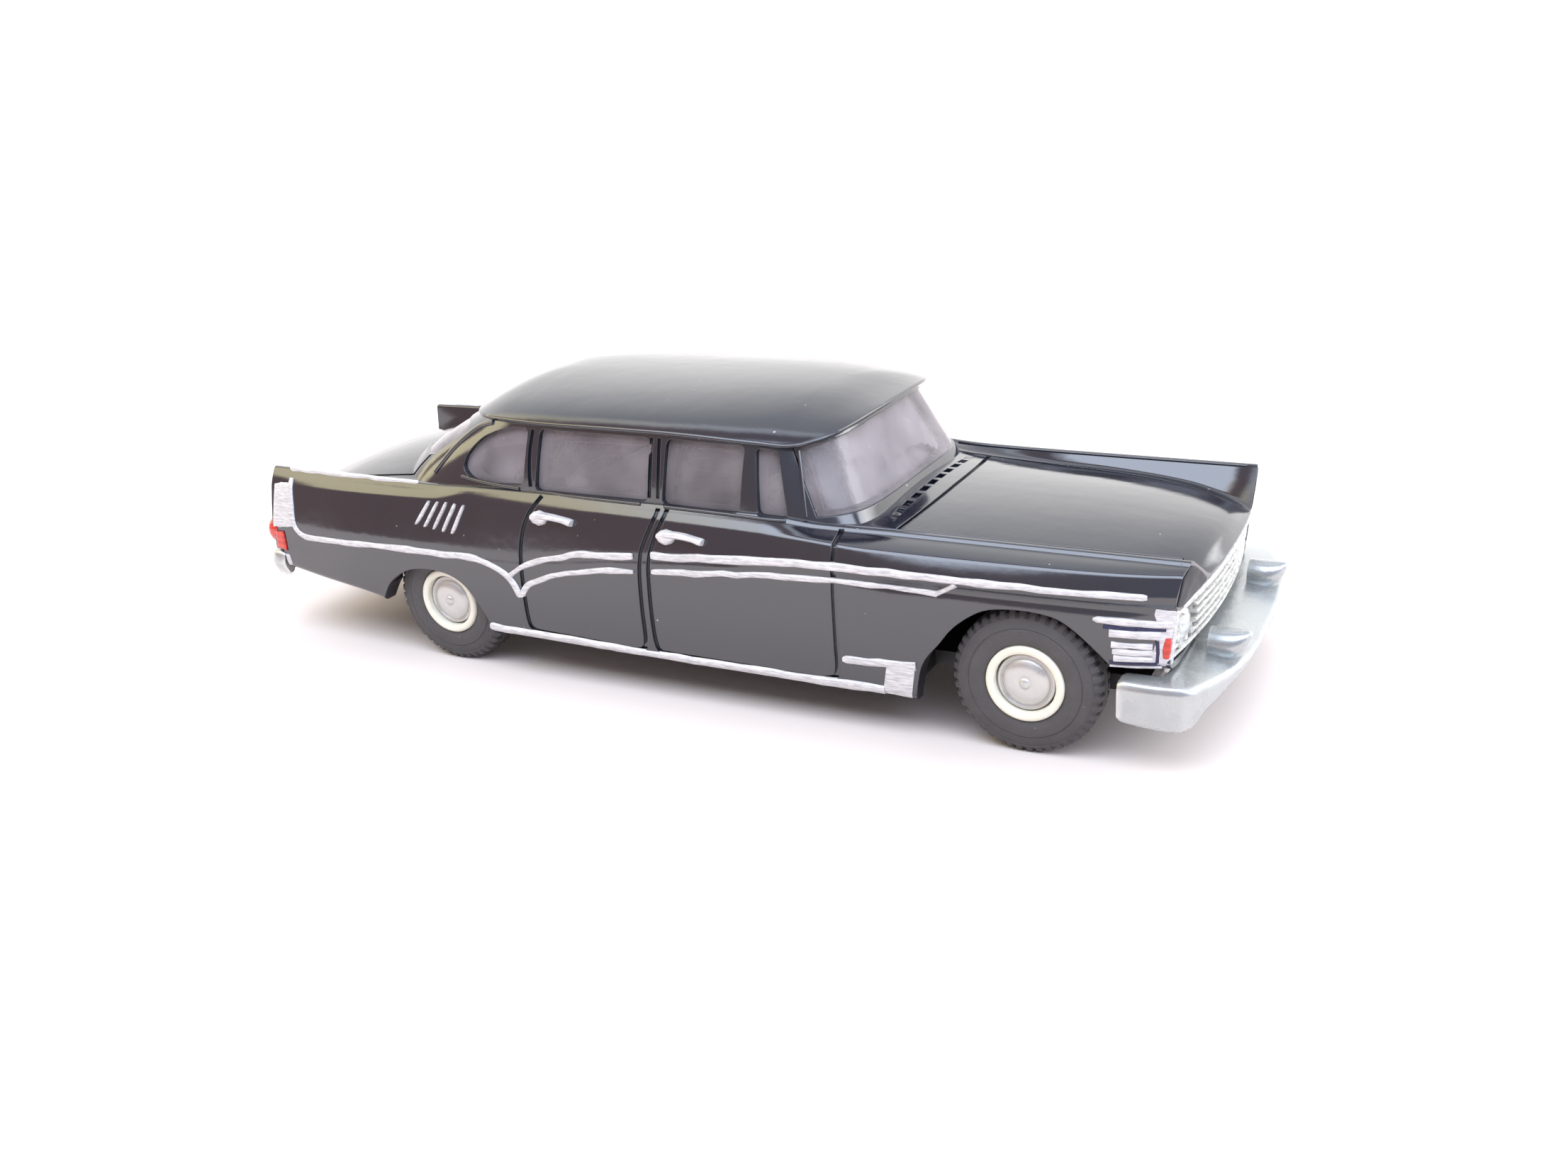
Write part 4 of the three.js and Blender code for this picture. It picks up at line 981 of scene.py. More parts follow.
def bead(name):
    """The gutter that runs down behind the quarter window, with the sill beads."""
    parts = [
        ribbon("gutter", [(-19.7, 11.75), (-19.0, 12.5), (-18.15, 13.35), (-17.2, 14.1), (-16.2, 14.7),
                          (-15.0, 15.05)], 0.34, 0.12),
        ribbon("quarter_sill", [(-17.1, 11.85), (-15.5, 11.7), (-12.5, 11.55)], 0.22, 0.1),
        ribbon("rear_sill", [(-11.3, 11.5), (-7, 11.45), (-3.9, 11.42)], 0.2, 0.1),
        ribbon("front_sill", [(-2.3, 11.4), (1.5, 11.32), (5.2, 11.2)], 0.2, 0.1),
        ribbon("fender_bead", [(x, -float(ridge_w(x)) + 0.3) for x in np.arange(8.3, 26.0, 1.6)], 0.2, 0.09,
               look="top"),
        ribbon("screen_post", [(6.15, 11.3), (5.9, 12.4), (5.6, 13.6), (5.3, 14.6)], 0.2, 0.09),
    ]
    return join(name, parts)


UPPER_SPEAR = [(-13.0, 6.5), (-12, 7.2), (-11, 7.6), (-10, 7.9), (-9, 8.1), (-8, 8.4), (-6, 8.5), (-4.0, 8.68)]
UPPER_SPEAR_FRONT = [(-2.75, 8.78), (0, 8.98), (5, 9.28), (10, 9.38), (15, 9.37), (20, 9.35), (24.75, 9.33)]
LOWER_SPEAR = [(-12.25, 5.35), (-11.7, 6.05), (-11, 6.4), (-10, 6.85), (-9, 7.1), (-8, 7.35), (-6, 7.65),
               (-4.0, 7.8)]
LOWER_SPEAR_FRONT = [(-2.75, 7.95), (0, 8.15), (2, 8.3), (5, 8.52), (10, 8.6), (14.2, 8.5)]
REAR_SPEAR = [(-12.3, 5.3), (-12.6, 5.9), (-13.1, 6.5), (-14, 7.0), (-15, 7.28), (-16, 7.38), (-19, 7.38),
              (-23, 7.3), (-27, 7.18), (-29.3, 7.12), (-30.2, 7.25), (-30.7, 7.65), (-30.95, 8.3), (-31.08, 9.2),
              (-31.18, 10.0), (-31.22, 10.7)]


def spears(name):
    parts = [
        ribbon("a", UPPER_SPEAR, (0.3, 0.42, 0.42), 0.13, rough=0.028, taper=(0.3, 0.8)),
        ribbon("b", UPPER_SPEAR_FRONT, (0.48, 0.46, 0.42, 0.4, 0.38), 0.13, rough=0.028, taper=(0.8, 0.7)),
        ribbon("c", LOWER_SPEAR, (0.4, 0.33, 0.33), 0.12, rough=0.026, taper=(0.5, 0.8)),
        ribbon("d", LOWER_SPEAR_FRONT, (0.34, 0.33, 0.3), 0.12, rough=0.026, taper=(0.8, 1)),
        ribbon("e", [(14.05, 8.46), (14.6, 8.72), (15.3, 9.15)], 0.28, 0.12, rough=0.02, straight=True),
        ribbon("f", REAR_SPEAR, (0.42, 0.4, 0.38, 0.38, 0.4), 0.13, rough=0.028, taper=(0.2, 0.8)),
    ]
    return join(name, parts)


def fin_line(name):
    path = [(x, -float(ridge_w(x)) - 0.02) for x in np.linspace(-31.6, -20.4, 9)]
    return ribbon(name, path, (0.34, 0.3, 0.24), 0.1, look="top", rough=0.02, taper=(0.6, 0.4))


def hash_marks(name):
    tops = [(-19.06, 10.42, -20.06, 8.98), (-18.38, 10.44, -19.35, 8.9), (-17.7, 10.46, -18.62, 8.82),
            (-17.02, 10.44, -17.9, 8.75), (-16.33, 10.41, -17.2, 8.7)]
    return join(name, [ribbon("m", [(a, b), (c, d)], (0.2, 0.24, 0.2), 0.14, rough=0.012, straight=True,
                              taper=(0.5, 0.5)) for a, b, c, d in tops])


def handles(name):
    parts = []
    for x, z in ((-11.15, 10.2), (-2.35, 9.95)):
        parts.append(ribbon("lever", [(x + 0.5, z + 0.14), (x + 1.5, z + 0.12), (x + 2.3, z + 0.04),
                                      (x + 2.95, z - 0.1)], (0.46, 0.42, 0.38, 0.46), 0.4, rough=0.015,
                            taper=(0.8, 0.75)))
        parts.append(ribbon("plate", [(x, z + 0.02), (x + 0.5, z), (x + 1.1, z + 0.04)], (0.6, 0.92, 0.6), 0.28,
                            rough=0.02, taper=(0.5, 0.4)))
    return join(name, parts)


def sill_trim(name):
    strip = ribbon("strip", [(-15.0, 3.0), (-10, 2.88), (0, 2.74), (6, 2.7), (11.1, 2.66)], (0.56, 0.52, 0.54),
                   0.16, rough=0.03, taper=(0.7, 1))
    top = ribbon("top", [(8.8, 4.18), (10.5, 4.25), (12.95, 4.32)], (0.4, 0.45, 0.46), 0.12, rough=0.03,
                 taper=(0.5, 1))
    block = patch("block", [(11.0, 2.42), (11.8, 2.42), (12.62, 2.45)], [(11.35, 4.4), (12.1, 4.42), (12.95, 4.46)],
                  height=0.1, rough=0.03, columns=14)
    return join(name, [strip, top, block])


def corner_trim(name):
    """Painted strips and the ribbed block on the fender ahead of the wheel."""
    parts = [
        ribbon("strip", [(22.2, 8.02), (24, 7.95), (25.9, 7.88)], (0.3, 0.4, 0.38), 0.13, rough=0.02,
               taper=(0.4, 0.9)),
        ribbon("bar", [(23.0, 7.38), (24.2, 7.35), (25.35, 7.32)], 0.42, 0.14, rough=0.015, straight=True),
        *(ribbon("rib", [(x, z0), (24.2, z1), (25.0, z2)], 0.34, 0.13, rough=0.02, straight=True)
          for x, z0, z1, z2 in ((23.1, 6.78, 6.75, 6.73), (23.15, 6.42, 6.4, 6.38), (23.2, 6.06, 6.04, 6.02))),
        ribbon("lip", [(23.0, 5.62), (24.3, 5.6), (25.4, 5.6)], 0.16, 0.1, rough=0.015),
    ]
    return join(name, parts)


def corner_lines(name):
    parts = [
        ribbon("over", [(22.7, 7.68), (24, 7.66), (25.6, 7.62)], 0.2, 0.09, straight=True),
        ribbon("ahead", [(25.22, 7.05), (25.25, 6.4), (25.2, 5.85)], 0.2, 0.09, straight=True),
        ribbon("below", [(23.0, 5.82), (24.2, 5.8), (25.2, 5.82)], 0.16, 0.09, straight=True),
    ]
    return join(name, parts)


def marker(name):
    return ribbon(name, [(25.72, 7.2), (25.66, 6.7), (25.6, 6.15)], (0.3, 0.42, 0.4, 0.3), 0.16, rough=0.015,
                  straight=True)


def fin_plate(name):
    """The bright plate on the end of the fin and the tip below the lamp."""
    plate = patch("plate", [(-32.88, 7.5), (-32.0, 7.6), (-31.0, 7.7)],
                  [(-32.72, 10.25), (-32.0, 10.4), (-31.2, 10.45)], rough=0.02, columns=16, rows=12)
    tip = patch("tip", [(-32.2, 4.92), (-32.0, 4.92), (-31.75, 4.95)], [(-32.2, 5.7), (-32.0, 5.7), (-31.8, 5.68)],
                rough=0.02, columns=6, rows=5)
    return join(name, [plate, tip])


def lamp_side(name):
    return patch(name, [(-32.8, 6.1), (-32.35, 6.05), (-31.92, 5.95)], [(-32.7, 7.2), (-32.35, 7.25), (-32.0, 7.28)],
                 height=0.13, columns=10, rows=8)


def corner_wrap(name):
    """Silver that runs from the grille round the corner to the marker lamp."""
    side = patch("side", [(25.36, 5.68), (25.5, 5.68), (25.6, 5.7)], [(25.56, 7.4), (25.68, 7.9), (25.8, 8.4)],
                 rough=0.02, columns=6, rows=10)
    front = patch("front", [(-9.82, 5.8), (-9.5, 5.75), (-9.2, 5.75)], [(-9.75, 8.7), (-9.5, 8.6), (-9.2, 8.5)],
                  look="front", rough=0.01, columns=6, rows=10)
    return join(name, [side, front])


def nose_end(name):
    """The end of the fender horn beside the bonnet lip: a duller copy of the body's black lacquer, painted shade where
    the horn end stands in shadow.
    """
    return patch(name, [(-9.6, 8.85), (-9.2, 8.68), (-8.6, 8.62), (-7.2, 8.74), (-5.7, 8.86)],
                 [(-9.3, 10.1), (-8.9, 10.36), (-8.3, 10.52), (-7.1, 9.9), (-5.8, 9.06)],
                 look="front", columns=30, rows=8)


# In this order, because each piece draws from the same random sequence.
for make, piece, material, slot in (
    (bead, "beads", LACQUER, "black_lacquer"),
    (spears, "spears", SILVER, "silver_paint"),
    (fin_line, "fin_line", SILVER, "silver_paint"),
    (hash_marks, "hash_marks", SILVER, "silver_paint"),
    (handles, "handles", SILVER, "silver_paint"),
    (sill_trim, "sill_trim", SILVER, "silver_paint"),
    (corner_trim, "corner_trim", SILVER, "silver_paint"),
    (corner_lines, "corner_lines", NAVY, "dark_plastic"),
    (marker, "marker", RED, "red_lens"),
    (fin_plate, "fin_plate", SILVER, "silver_paint"),
    (lamp_side, "lamp_side", RED, "red_lens"),
    (corner_wrap, "corner_wrap", SILVER, "silver_paint"),
    # The horn ends take the painted-shade copy of the black.
    (nose_end, "nose_end", HORN_SHADE, "black_lacquer"),
):
    add_pair(make, piece, material, slot)

brow = patch("bonnet_brow", [(-8.7, 8.5), (-7, 8.5), (0, 8.5), (7, 8.5), (8.7, 8.5)],
             [(-8.7, 8.56), (-7, 8.68), (0, 8.9), (7, 8.68), (8.7, 8.56)], height=0.08, look="front", columns=60,
             rows=5, rough=0.01)
hand_over(brow, SILVER, "body", "silver_paint")

# ------------------------------------------------------------------ glazing
glazing = greenhouse("window_clear", grown(CAVITY, 0.06), count=140, wall=12, roof=12)
cut(glazing, greenhouse("hollow", grown(CAVITY, 0.55), count=140, foot=9.0, wall=12, roof=12))
combine(glazing, box("keep", -30, 12, -12, 12, 10.6, 20), "INTERSECT")


def pane(opening, name, near, far):
    """A pane that fills an opening of the wall from one depth below the skin to another."""
    outer = greenhouse(name, dict(side=near, front=near, rear=near, top=0.01), count=140, wall=12, roof=6)
    inner = greenhouse("inner", dict(side=far, front=far, rear=far, top=0.3), count=140, foot=9.0, wall=12, roof=6)
    return combine(combine(outer, inner, "DIFFERENCE"), opening, "INTERSECT")


for index, (outline, radius) in enumerate(WINDOWS):
    corners = np.array(outline)
    middle = corners.mean(axis=0)
    opening = side_prism("opening", rounded_outline(middle + (corners - middle) * 0.992, radius), -BEYOND, BEYOND)
    combine(glazing, pane(opening, f"side_pane_{index}", 0.32, 1.4), "UNION")
combine(glazing, pane(screen_cut, "screen_pane", 0.12, 0.8), "UNION")
combine(glazing, pane(rear_screen_cut, "rear_pane", 0.2, 0.95), "UNION")
shade(glazing, 40)
hand_over(glazing, CLEAR, "body", "clear_plastic", "window_glazing")

# ------------------------------------------------------------------ cabin
FLOOR_Z, BENCH_HALF = 4.3, 8.1


def bench_part(name, outline, half, bow=0.12):
    """A moulded seat part: a side outline swept across, crowned, with rounded ends and pleats."""
    ring = np.array(rounded_outline(outline, 0.45, 5))
    middle = ring.mean(axis=0)
    rings = []
    for y in np.concatenate([[-half, -half + 0.12, -half + 0.35], np.linspace(-half + 0.7, half - 0.7, 30),
                             [half - 0.35, half - 0.12, half]]):
        inside = half - abs(y)
        shrink = 1 - 0.10 * max(0, 1 - inside / 0.4) ** 2
        pleat = 1 + 0.012 * math.cos(y * 2 * math.pi / 1.35) * (1 if inside > 0.5 else 0)
        crown = 1 + bow * 0.2 * (1 - (y / half) ** 2)
        flat = middle + (ring - middle) * shrink * pleat * crown
        rings.append(np.column_stack([flat[:, 0], np.full(len(flat), y), flat[:, 1]]))
    return loft(name, rings, smooth_angle=50)


def bench(name, x0, x1, back_top):
    cushion = bench_part("cushion", [(x0 + 0.7, 5.0), (x1, 5.0), (x1 + 0.05, 7.1), (x1 - 0.5, 7.5), (x0 + 1.3, 7.2)],
                         BENCH_HALF)
    back = bench_part("back", [(x0 - 0.3, 5.0), (x0 + 1.3, 5.0), (x0 + 1.25, 7.4), (x0 + 0.75, back_top),
                               (x0 + 0.35, back_top + 0.3), (x0 - 0.2, back_top + 0.2), (x0 - 0.5, back_top - 0.4)],
                      BENCH_HALF)
    plinth = side_prism("plinth", [(x0, FLOOR_Z), (x1 - 0.2, FLOOR_Z), (x1 - 0.35, 5.2), (x0, 5.2)], -7.9, 7.9)
    return [cushion, back, plinth]


tub = box("tub_floor", -14.2, 9.0, -8.9, 8.9, 3.7, 4.35)
parts = [tub]
for face in (-1, 1):
    wall = side_prism("wall", rounded_outline([(-14.2, 3.8), (9.0, 3.8), (9.0, 8.4), (-14.2, 8.4)], 0.4),
                      face * 8.65 - 0.25, face * 8.65 + 0.25)
    parts.append(wall)
    for x0, x1 in ((-11.4, -4.0), (-2.7, 5.5)):
        panel = side_prism("panel", rounded_outline([(x0, 5.4), (x1, 5.4), (x1, 7.7), (x0, 7.7)], 0.5),
                           face * 8.35 - 0.1, face * 8.35 + 0.12)
        parts.append(panel)
parts += bench("rear_bench", -12.6, -8.0, 10.0) + bench("front_bench", -1.2, 2.6, 9.8)
dash = bench_part("dash", [(7.0, 7.4), (8.7, 4.2), (8.7, 8.8), (8.2, 9.25), (7.2, 9.1), (6.8, 8.6)], BENCH_HALF)
parts.append(dash)
for x, y, r in ((6.88, 3.9, 0.62), (6.88, 2.4, 0.38), (6.88, 5.4, 0.38)):
    parts.append(turned("dial", [(0, -0.3), (r, -0.3), (r, 0.06), (r - 0.08, 0.12), (r - 0.16, 0.04), (0, 0.03)],
                        "x", (x - 0.02, y, 8.45), 28, direction=-1.0))
tub = join("cabin_tub", parts)
shade(tub, 40)
hand_over(tub, GREY, "body", "grey_trim", "interior_tub")


def torus(name, major, minor, turns=56, sides=14):
    b = np.linspace(0, 2 * np.pi, sides, endpoint=False)
    reach = major + minor * np.cos(b)
    rings = [np.column_stack([reach * c, reach * s, minor * np.sin(b)]) - ORIGIN for c, s in zip(*around(turns))]
    return closed_rings(name, rings)


SPOKE = ((-1.48, 0.1), (-0.6, 0.12), (-0.25, 0.2), (0.25, 0.2), (0.6, 0.12), (1.48, 0.1))
HUB = ((0.18, -0.85), (0.18, -0.22), (0.33, -0.16), (0.35, 0.05), (0.26, 0.17), (0.1, 0.22))
SPOKE_HALF_THICKNESS = 0.09
COLUMN_TILT = 0.95  # radians

ring = torus("wheel_ring", 1.5, 0.14)
c, s = around(12)
spoke = loft("spoke", [np.column_stack([np.full(12, x), w * c, SPOKE_HALF_THICKNESS * s]) - ORIGIN for x, w in SPOKE])
c, s = around(24)
hub = loft("hub", [np.column_stack([r * c, r * s, np.full(24, z)]) - ORIGIN for r, z in HUB])
steering = join("steering_ring", [ring, spoke, hub])
centre = Vector((5.9 + SHIFT_X, 3.9, 9.4)) * MM
steering.data.transform(Matrix.Translation(centre) @ Matrix.Rotation(-COLUMN_TILT, 4, "Y"))
hand_over(steering, DARK, "body", "dark_plastic", "steering_wheel")

mirror = end_prism("mirror", rounded_outline([(-0.9, 14.17), (0.9, 14.17), (0.85, 14.58), (-0.85, 14.58)], 0.16),
                   4.96, 5.18)
stalk = end_prism("stalk", rounded_outline([(-0.1, 14.5), (0.1, 14.5), (0.07, 14.93), (-0.07, 14.93)], 0.03),
                  5.02, 5.12)
mirror = join("cabin_mirror", [mirror, stalk])
hand_over(mirror, DARK, "body", "dark_plastic", "rear_view_mirror")

# ------------------------------------------------------------------ bumpers
def wrap_bar(name, path, section, step=0.35):
    """A bar swept round a plan path that is mirrored to the other side."""
    half = smooth_path(path, step)
    full = np.concatenate([half, half[-2::-1] * np.array([1, -1])])
    tangent = np.gradient(full, axis=0)
    tangent /= np.linalg.norm(tangent, axis=1, keepdims=True)
    normal = np.column_stack([tangent[:, 1], -tangent[:, 0]])
    middle = np.array([np.sign(path[0][0]) * 20.0, 0.0])
    inwards = ((full - middle) * normal).sum(axis=1, keepdims=True) < 0
    normal = np.where(inwards, -normal, normal)
    profile = np.array(rounded_outline(section, 0.22, 4))
    rings = []
    ends = len(full)
    for i in range(ends):
        near_end = min(i, ends - 1 - i) * step
        shrink = 1 - 0.22 * max(0.0, 1 - near_end / 0.7) ** 2
        middle = profile.mean(axis=0)
        shape = middle + (profile - middle) * shrink
        rings.append(np.column_stack([full[i, 0] + normal[i, 0] * shape[:, 0],
                                      full[i, 1] + normal[i, 1] * shape[:, 0], shape[:, 1]]))
    return loft(name, rings)


# Stations of the front bumper from the wheel arch to the nose: outer x and y, inner x and y,
# heights of the bottom, the crease, the top edge and the top at the body.
FRONT_STATIONS = [
    (23.5, -10.78, 23.5, -9.5, 2.78, 4.7, 5.05, 5.1), (25.2, -10.86, 25.2, -9.5, 2.62, 4.72, 5.06, 5.12),
    (26.6, -10.72, 25.5, -9.3, 2.62, 4.74, 5.06, 5.15), (27.2, -10.3, 25.6, -8.9, 2.85, 4.74, 5.03, 5.18),
    (27.6, -9.5, 25.6, -8.5, 3.42, 4.72, 5.0, 5.2), (28.0, -8.5, 25.6, -8.0, 3.72, 4.7, 4.95, 5.2),
    (28.5, -6.8, 25.6, -6.6, 4.1, 4.66, 4.86, 5.2), (28.75, -5.0, 25.6, -5.0, 4.22, 4.62, 4.8, 5.2),
    (28.9, -2.8, 25.7, -2.8, 4.32, 4.62, 4.78, 5.2), (28.9, 0, 25.7, 0, 4.34, 4.62, 4.78, 5.2),
]
BULLET_Y, BULLET_TOP = 5.16, 6.15
BULLET_RADII = [(26.8, 0.82), (27.6, 0.86), (28.1, 0.78), (28.5, 0.56), (28.74, 0.28), (28.84, 0.1)]
REAR_PATH = [(-32.45, -9.93), (-33.2, -9.88), (-33.8, -9.5), (-34.2, -8.4), (-34.4, -6.5), (-34.54, -3.5),
             (-34.58, 0)]
REAR_SECTION = [(0, 4.9), (-0.15, 5.6), (-0.4, 5.85), (-0.9, 5.85), (-1.0, 5.5), (-1.0, 4.2), (-0.8, 3.95),
                (-0.4, 4.0)]


def shelf_bar(name, stations, step=0.3):
    """The front bumper: tall plates at the sides that turn into a low shelf over the nose."""
    half = smooth_path(stations, step)
    full = np.concatenate([half, half[-2::-1] * np.array([1, -1, 1, -1, 1, 1, 1, 1])])
    rings = []
    for i, (ox, oy, ix, iy, bottom, crease, top, inner_top) in enumerate(full):
        depth = math.hypot(ix - ox, iy - oy)
        inner_bottom = min(bottom + 0.2, bottom * 0.5 + 2)
        section = [(0, bottom + 0.2), (0.0, crease), (0.2, top), (depth, inner_top), (depth, inner_bottom),
                   (0.35, bottom)]
        outline = np.array(rounded_outline(section, 0.16, 4))
        near_end = min(i, len(full) - 1 - i) * step
        shrink = 1 - 0.12 * max(0.0, 1 - near_end / 0.5) ** 2
        outline = outline.mean(axis=0) + (outline - outline.mean(axis=0)) * shrink
        share = outline[:, :1] / depth
        flat = lerp(np.array([ox, oy]), np.array([ix, iy]), share)
        rings.append(np.column_stack([flat, outline[:, 1]]))
    return loft(name, rings)


def bullet(name, y):
    """A pointed overrider: its rings shrink forward while its top edge stays level."""
    angles = np.linspace(0, 2 * np.pi, 40, endpoint=False)
    return loft(name, [np.column_stack([np.full(40, x), y + r * np.cos(angles), BULLET_TOP - r + r * np.sin(angles)])
                       for x, r in smooth_path(BULLET_RADII, 0.1)])


front_bar = shelf_bar("front_bar", FRONT_STATIONS)
for y in (-BULLET_Y, BULLET_Y):
    combine(front_bar, bullet("bullet", y), "UNION")
BRACKET_Y, TONGUE_Y = 3.2, 4.0
for y in (-BRACKET_Y, BRACKET_Y):
    combine(front_bar, box("bracket", 24.3, 27.4, y - 1, y + 1, 2.85, 3.55), "UNION")
    combine(front_bar, box("post", 26.8, 27.4, y - 1, y + 1, 2.85, 4.6), "UNION")
shade(front_bar, 38)
hand_over(front_bar, SATIN, "body", "satin_silver", "front_bumper")
rear_bar = wrap_bar("rear_bar", REAR_PATH, REAR_SECTION)
for y in (-TONGUE_Y, TONGUE_Y):
    combine(rear_bar, box("tongue", -34, -29.7, y - 1, y + 1, 3.98, 4.4), "UNION")
    combine(rear_bar, box("pad", -31.1, -29.7, y - 1, y + 1, 4.3, 4.7), "UNION")
shade(rear_bar, 38)
hand_over(rear_bar, SATIN, "body", "satin_silver", "rear_bumper")

# ------------------------------------------------------------------ front face and lamps
def grille_bar(name, inner, outer, bottom, top, half, bead_shape=False):
    rings = []
    for y in np.linspace(-half, half, 57):
        def reach(z):
            return float(nose_x(abs(y), z)) + outer

        if bead_shape:
            mid = (bottom + top) / 2
            ring = [(inner, bottom), (reach(bottom) - 0.12, bottom), (reach(mid) - 0.03, lerp(bottom, mid, 0.35)),
                    (reach(mid), mid), (reach(mid) - 0.03, lerp(top, mid, 0.35)), (reach(top) - 0.12, top),
                    (inner, top)]
        else:
            ring = [(inner, bottom), (reach(bottom), bottom), (reach(top), top), (inner, top)]
        rings.append([(x, y, z) for x, z in ring])
    return loft(name, rings)


grille = grille_bar("grille_front", GRILLE_BACK + 0.05, -0.66, GRILLE_BOTTOM + 0.05, GRILLE_TOP - 0.05,
                    GRILLE_HALF - 0.05)
BARS, BAR_MARGIN, BAR_HALF = 6, 0.17, 0.11
for i in range(BARS):
    z = GRILLE_BOTTOM + BAR_MARGIN + i * (GRILLE_TOP - GRILLE_BOTTOM - 2 * BAR_MARGIN) / (BARS - 1)
    combine(grille, grille_bar("bar", GRILLE_BACK + 0.05, -0.06, z - BAR_HALF, z + BAR_HALF, GRILLE_HALF - 0.05, True),
            "UNION")
UPRIGHTS, UPRIGHT_PITCH, UPRIGHT_HALF = 25, 0.7, 0.05
for i in range(UPRIGHTS):
    y = (i - (UPRIGHTS - 1) / 2) * UPRIGHT_PITCH
    x = float(nose_x(abs(y), 7.1))
    combine(grille, box("upright", GRILLE_BACK + 0.1, x - 0.3, y - UPRIGHT_HALF, y + UPRIGHT_HALF, GRILLE_BOTTOM + 0.1,
                        GRILLE_TOP - 0.1), "UNION")
for face in (-1, 1):
    y = face * LAMP_Y
    combine(grille, turned("bezel", [(0, 0), (1.33, 0), (1.36, 0.5), (1.3, 0.72), (1.18, 0.78), (1.1, 0.7), (0, 0.7)],
                           "x", (25.2, y, LAMP_Z), 44), "UNION")
    combine(grille, turned("bore", [(0, 0), (LAMP_RADIUS + 0.05, 0), (LAMP_RADIUS + 0.05, 4), (0, 4)], "x",
                           (25.3, y, LAMP_Z), 44), "DIFFERENCE")
shade(grille, 38)
hand_over(grille, CAST, "body", "silver_paint", "front_grille")


def lamp(name, face):
    profile = [(0, 0.05), (1.02, 0.05), (1.04, 0.45), (0.98, 0.58), (0.92, 0.55), (0.86, 0.62), (0.7, 0.74),
               (0.48, 0.81), (0.25, 0.845), (0.02, 0.85)]
    return turned(name, profile, "x", (25.3, face * LAMP_Y, LAMP_Z), 44)


def rear_lamp(name, face):
    rings = []
    for x, size in ((-32.62, 1.0), (-33.1, 1.0), (-33.3, 0.97), (-33.5, 0.86), (-33.63, 0.66), (-33.7, 0.38),
                    (-33.72, 0.08)):
        flat = ellipse(face * TAIL_Y, TAIL_Z, 0.85 * size, 0.95 * size)
        rings.append(np.column_stack([np.full(len(flat), x), flat]))
    return loft(name, rings)


for side, face in (("right", -1), ("left", 1)):
    hand_over(lamp(f"{side}_front_lens", face), LAMP_GLASS, "body", "lamp_glass", f"{side}_headlamp")
    hand_over(rear_lamp(f"{side}_rear_lens", face), RED, "body", "red_lens", f"{side}_tail_lamp")

chassis = frame["nodes"]["chassis_plate"]
chassis.data.materials.clear()
chassis.data.materials.append(CHASSIS)

# ------------------------------------------------------------------ wheels
LUGS, STEPS_PER_LUG, SOLID_STEPS, LUG_DEPTH = 44, 8, 5, 0.14


def tyre(name, x, face_y):
    """Round tyre with square shoulder lugs and a ribbed tread. Each point of the profile is
    radius, distance in and kind: 1 the outer lugs, 2 the inner lugs, 0 and 3 plain."""
    turn = LUGS * STEPS_PER_LUG
    a = np.linspace(0, 2 * np.pi, turn, endpoint=False)
    gap = np.arange(turn) % STEPS_PER_LUG >= SOLID_STEPS
    other = (np.arange(turn) + STEPS_PER_LUG // 2) % STEPS_PER_LUG >= SOLID_STEPS
    profile = [(2.12, 0.16, 0), (2.3, 0.06, 0), (2.62, 0.02, 0), (2.95, 0.05, 0), (3.0, 0.1, 0), (3.05, 0.07, 0),
               (3.3, 0.12, 0), (3.5, 0.2, 0), (3.56, 0.17, 0), (3.62, 0.22, 1), (3.8, 0.3, 1), (3.92, 0.42, 1),
               (3.96, 0.62, 1), (3.96, 0.84, 1), (3.9, 0.86, 3), (3.9, 0.95, 3), (3.955, 0.97, 3),
               (3.955, 1.33, 3), (3.9, 1.35, 3), (3.9, 1.44, 3), (3.96, 1.46, 2), (3.96, 1.7, 2), (3.92, 1.88, 2),
               (3.8, 2.0, 2), (3.62, 2.1, 2), (3.5, 2.17, 0), (3.0, 2.25, 0), (2.4, 2.28, 0), (2.12, 2.28, 0)]
    side = np.sign(face_y)
    rings = []
    for radius, inward, kind in profile:
        drop = {1: LUG_DEPTH * gap, 2: LUG_DEPTH * other}.get(kind, 0)
        r = radius - drop * min(1.0, (radius - 3.5) / 0.3) + np.zeros(turn)
        rings.append(np.column_stack([x + r * np.cos(a), np.full(turn, face_y - side * inward),
                                      AXLE_Z + r * np.sin(a)]))
    return closed_rings(name, rings, smooth_angle=28)


def ring_part(name, x, face_y, profile, turn=96, angle=30):
    """A turned wheel part with a bore: profile (radius, distance in), closed on itself."""
    side = np.sign(face_y)
    c, s = around(turn)
    rings = [np.column_stack([x + r * c, np.full(turn, face_y - side * d), AXLE_Z + r * s]) for r, d in profile]
    return closed_rings(name, rings, smooth_angle=angle)


RING = [(1.62, 0.2), (1.65, 0.1), (1.72, 0.04), (1.8, 0.02), (1.9, 0.0), (1.98, 0.02), (2.04, 0.06), (2.08, 0.13),
        (2.09, 0.2), (2.09, 1.2), (1.62, 1.2)]
RIM = [(0.5, 1.3), (0.9, 1.3), (1.3, 1.34), (2.0, 1.3), (2.09, 1.36), (2.09, 2.14), (2.02, 2.2), (1.9, 2.2),
       (1.8, 1.9), (0.95, 1.75), (0.85, 2.15), (0.78, 2.2), (0.5, 2.2)]
CAP_PROFILE = [(0.0, 0.04), (0.1, 0.045), (0.2, 0.07), (0.27, 0.13), (0.3, 0.16), (0.36, 0.14), (0.55, 0.13),
               (0.8, 0.15), (1.0, 0.2), (1.18, 0.29), (1.26, 0.36), (1.3, 0.42), (1.34, 0.42), (1.38, 0.36),
               (1.45, 0.33), (1.52, 0.36), (1.55, 0.44), (1.55, 1.2), (0.0, 1.2)]


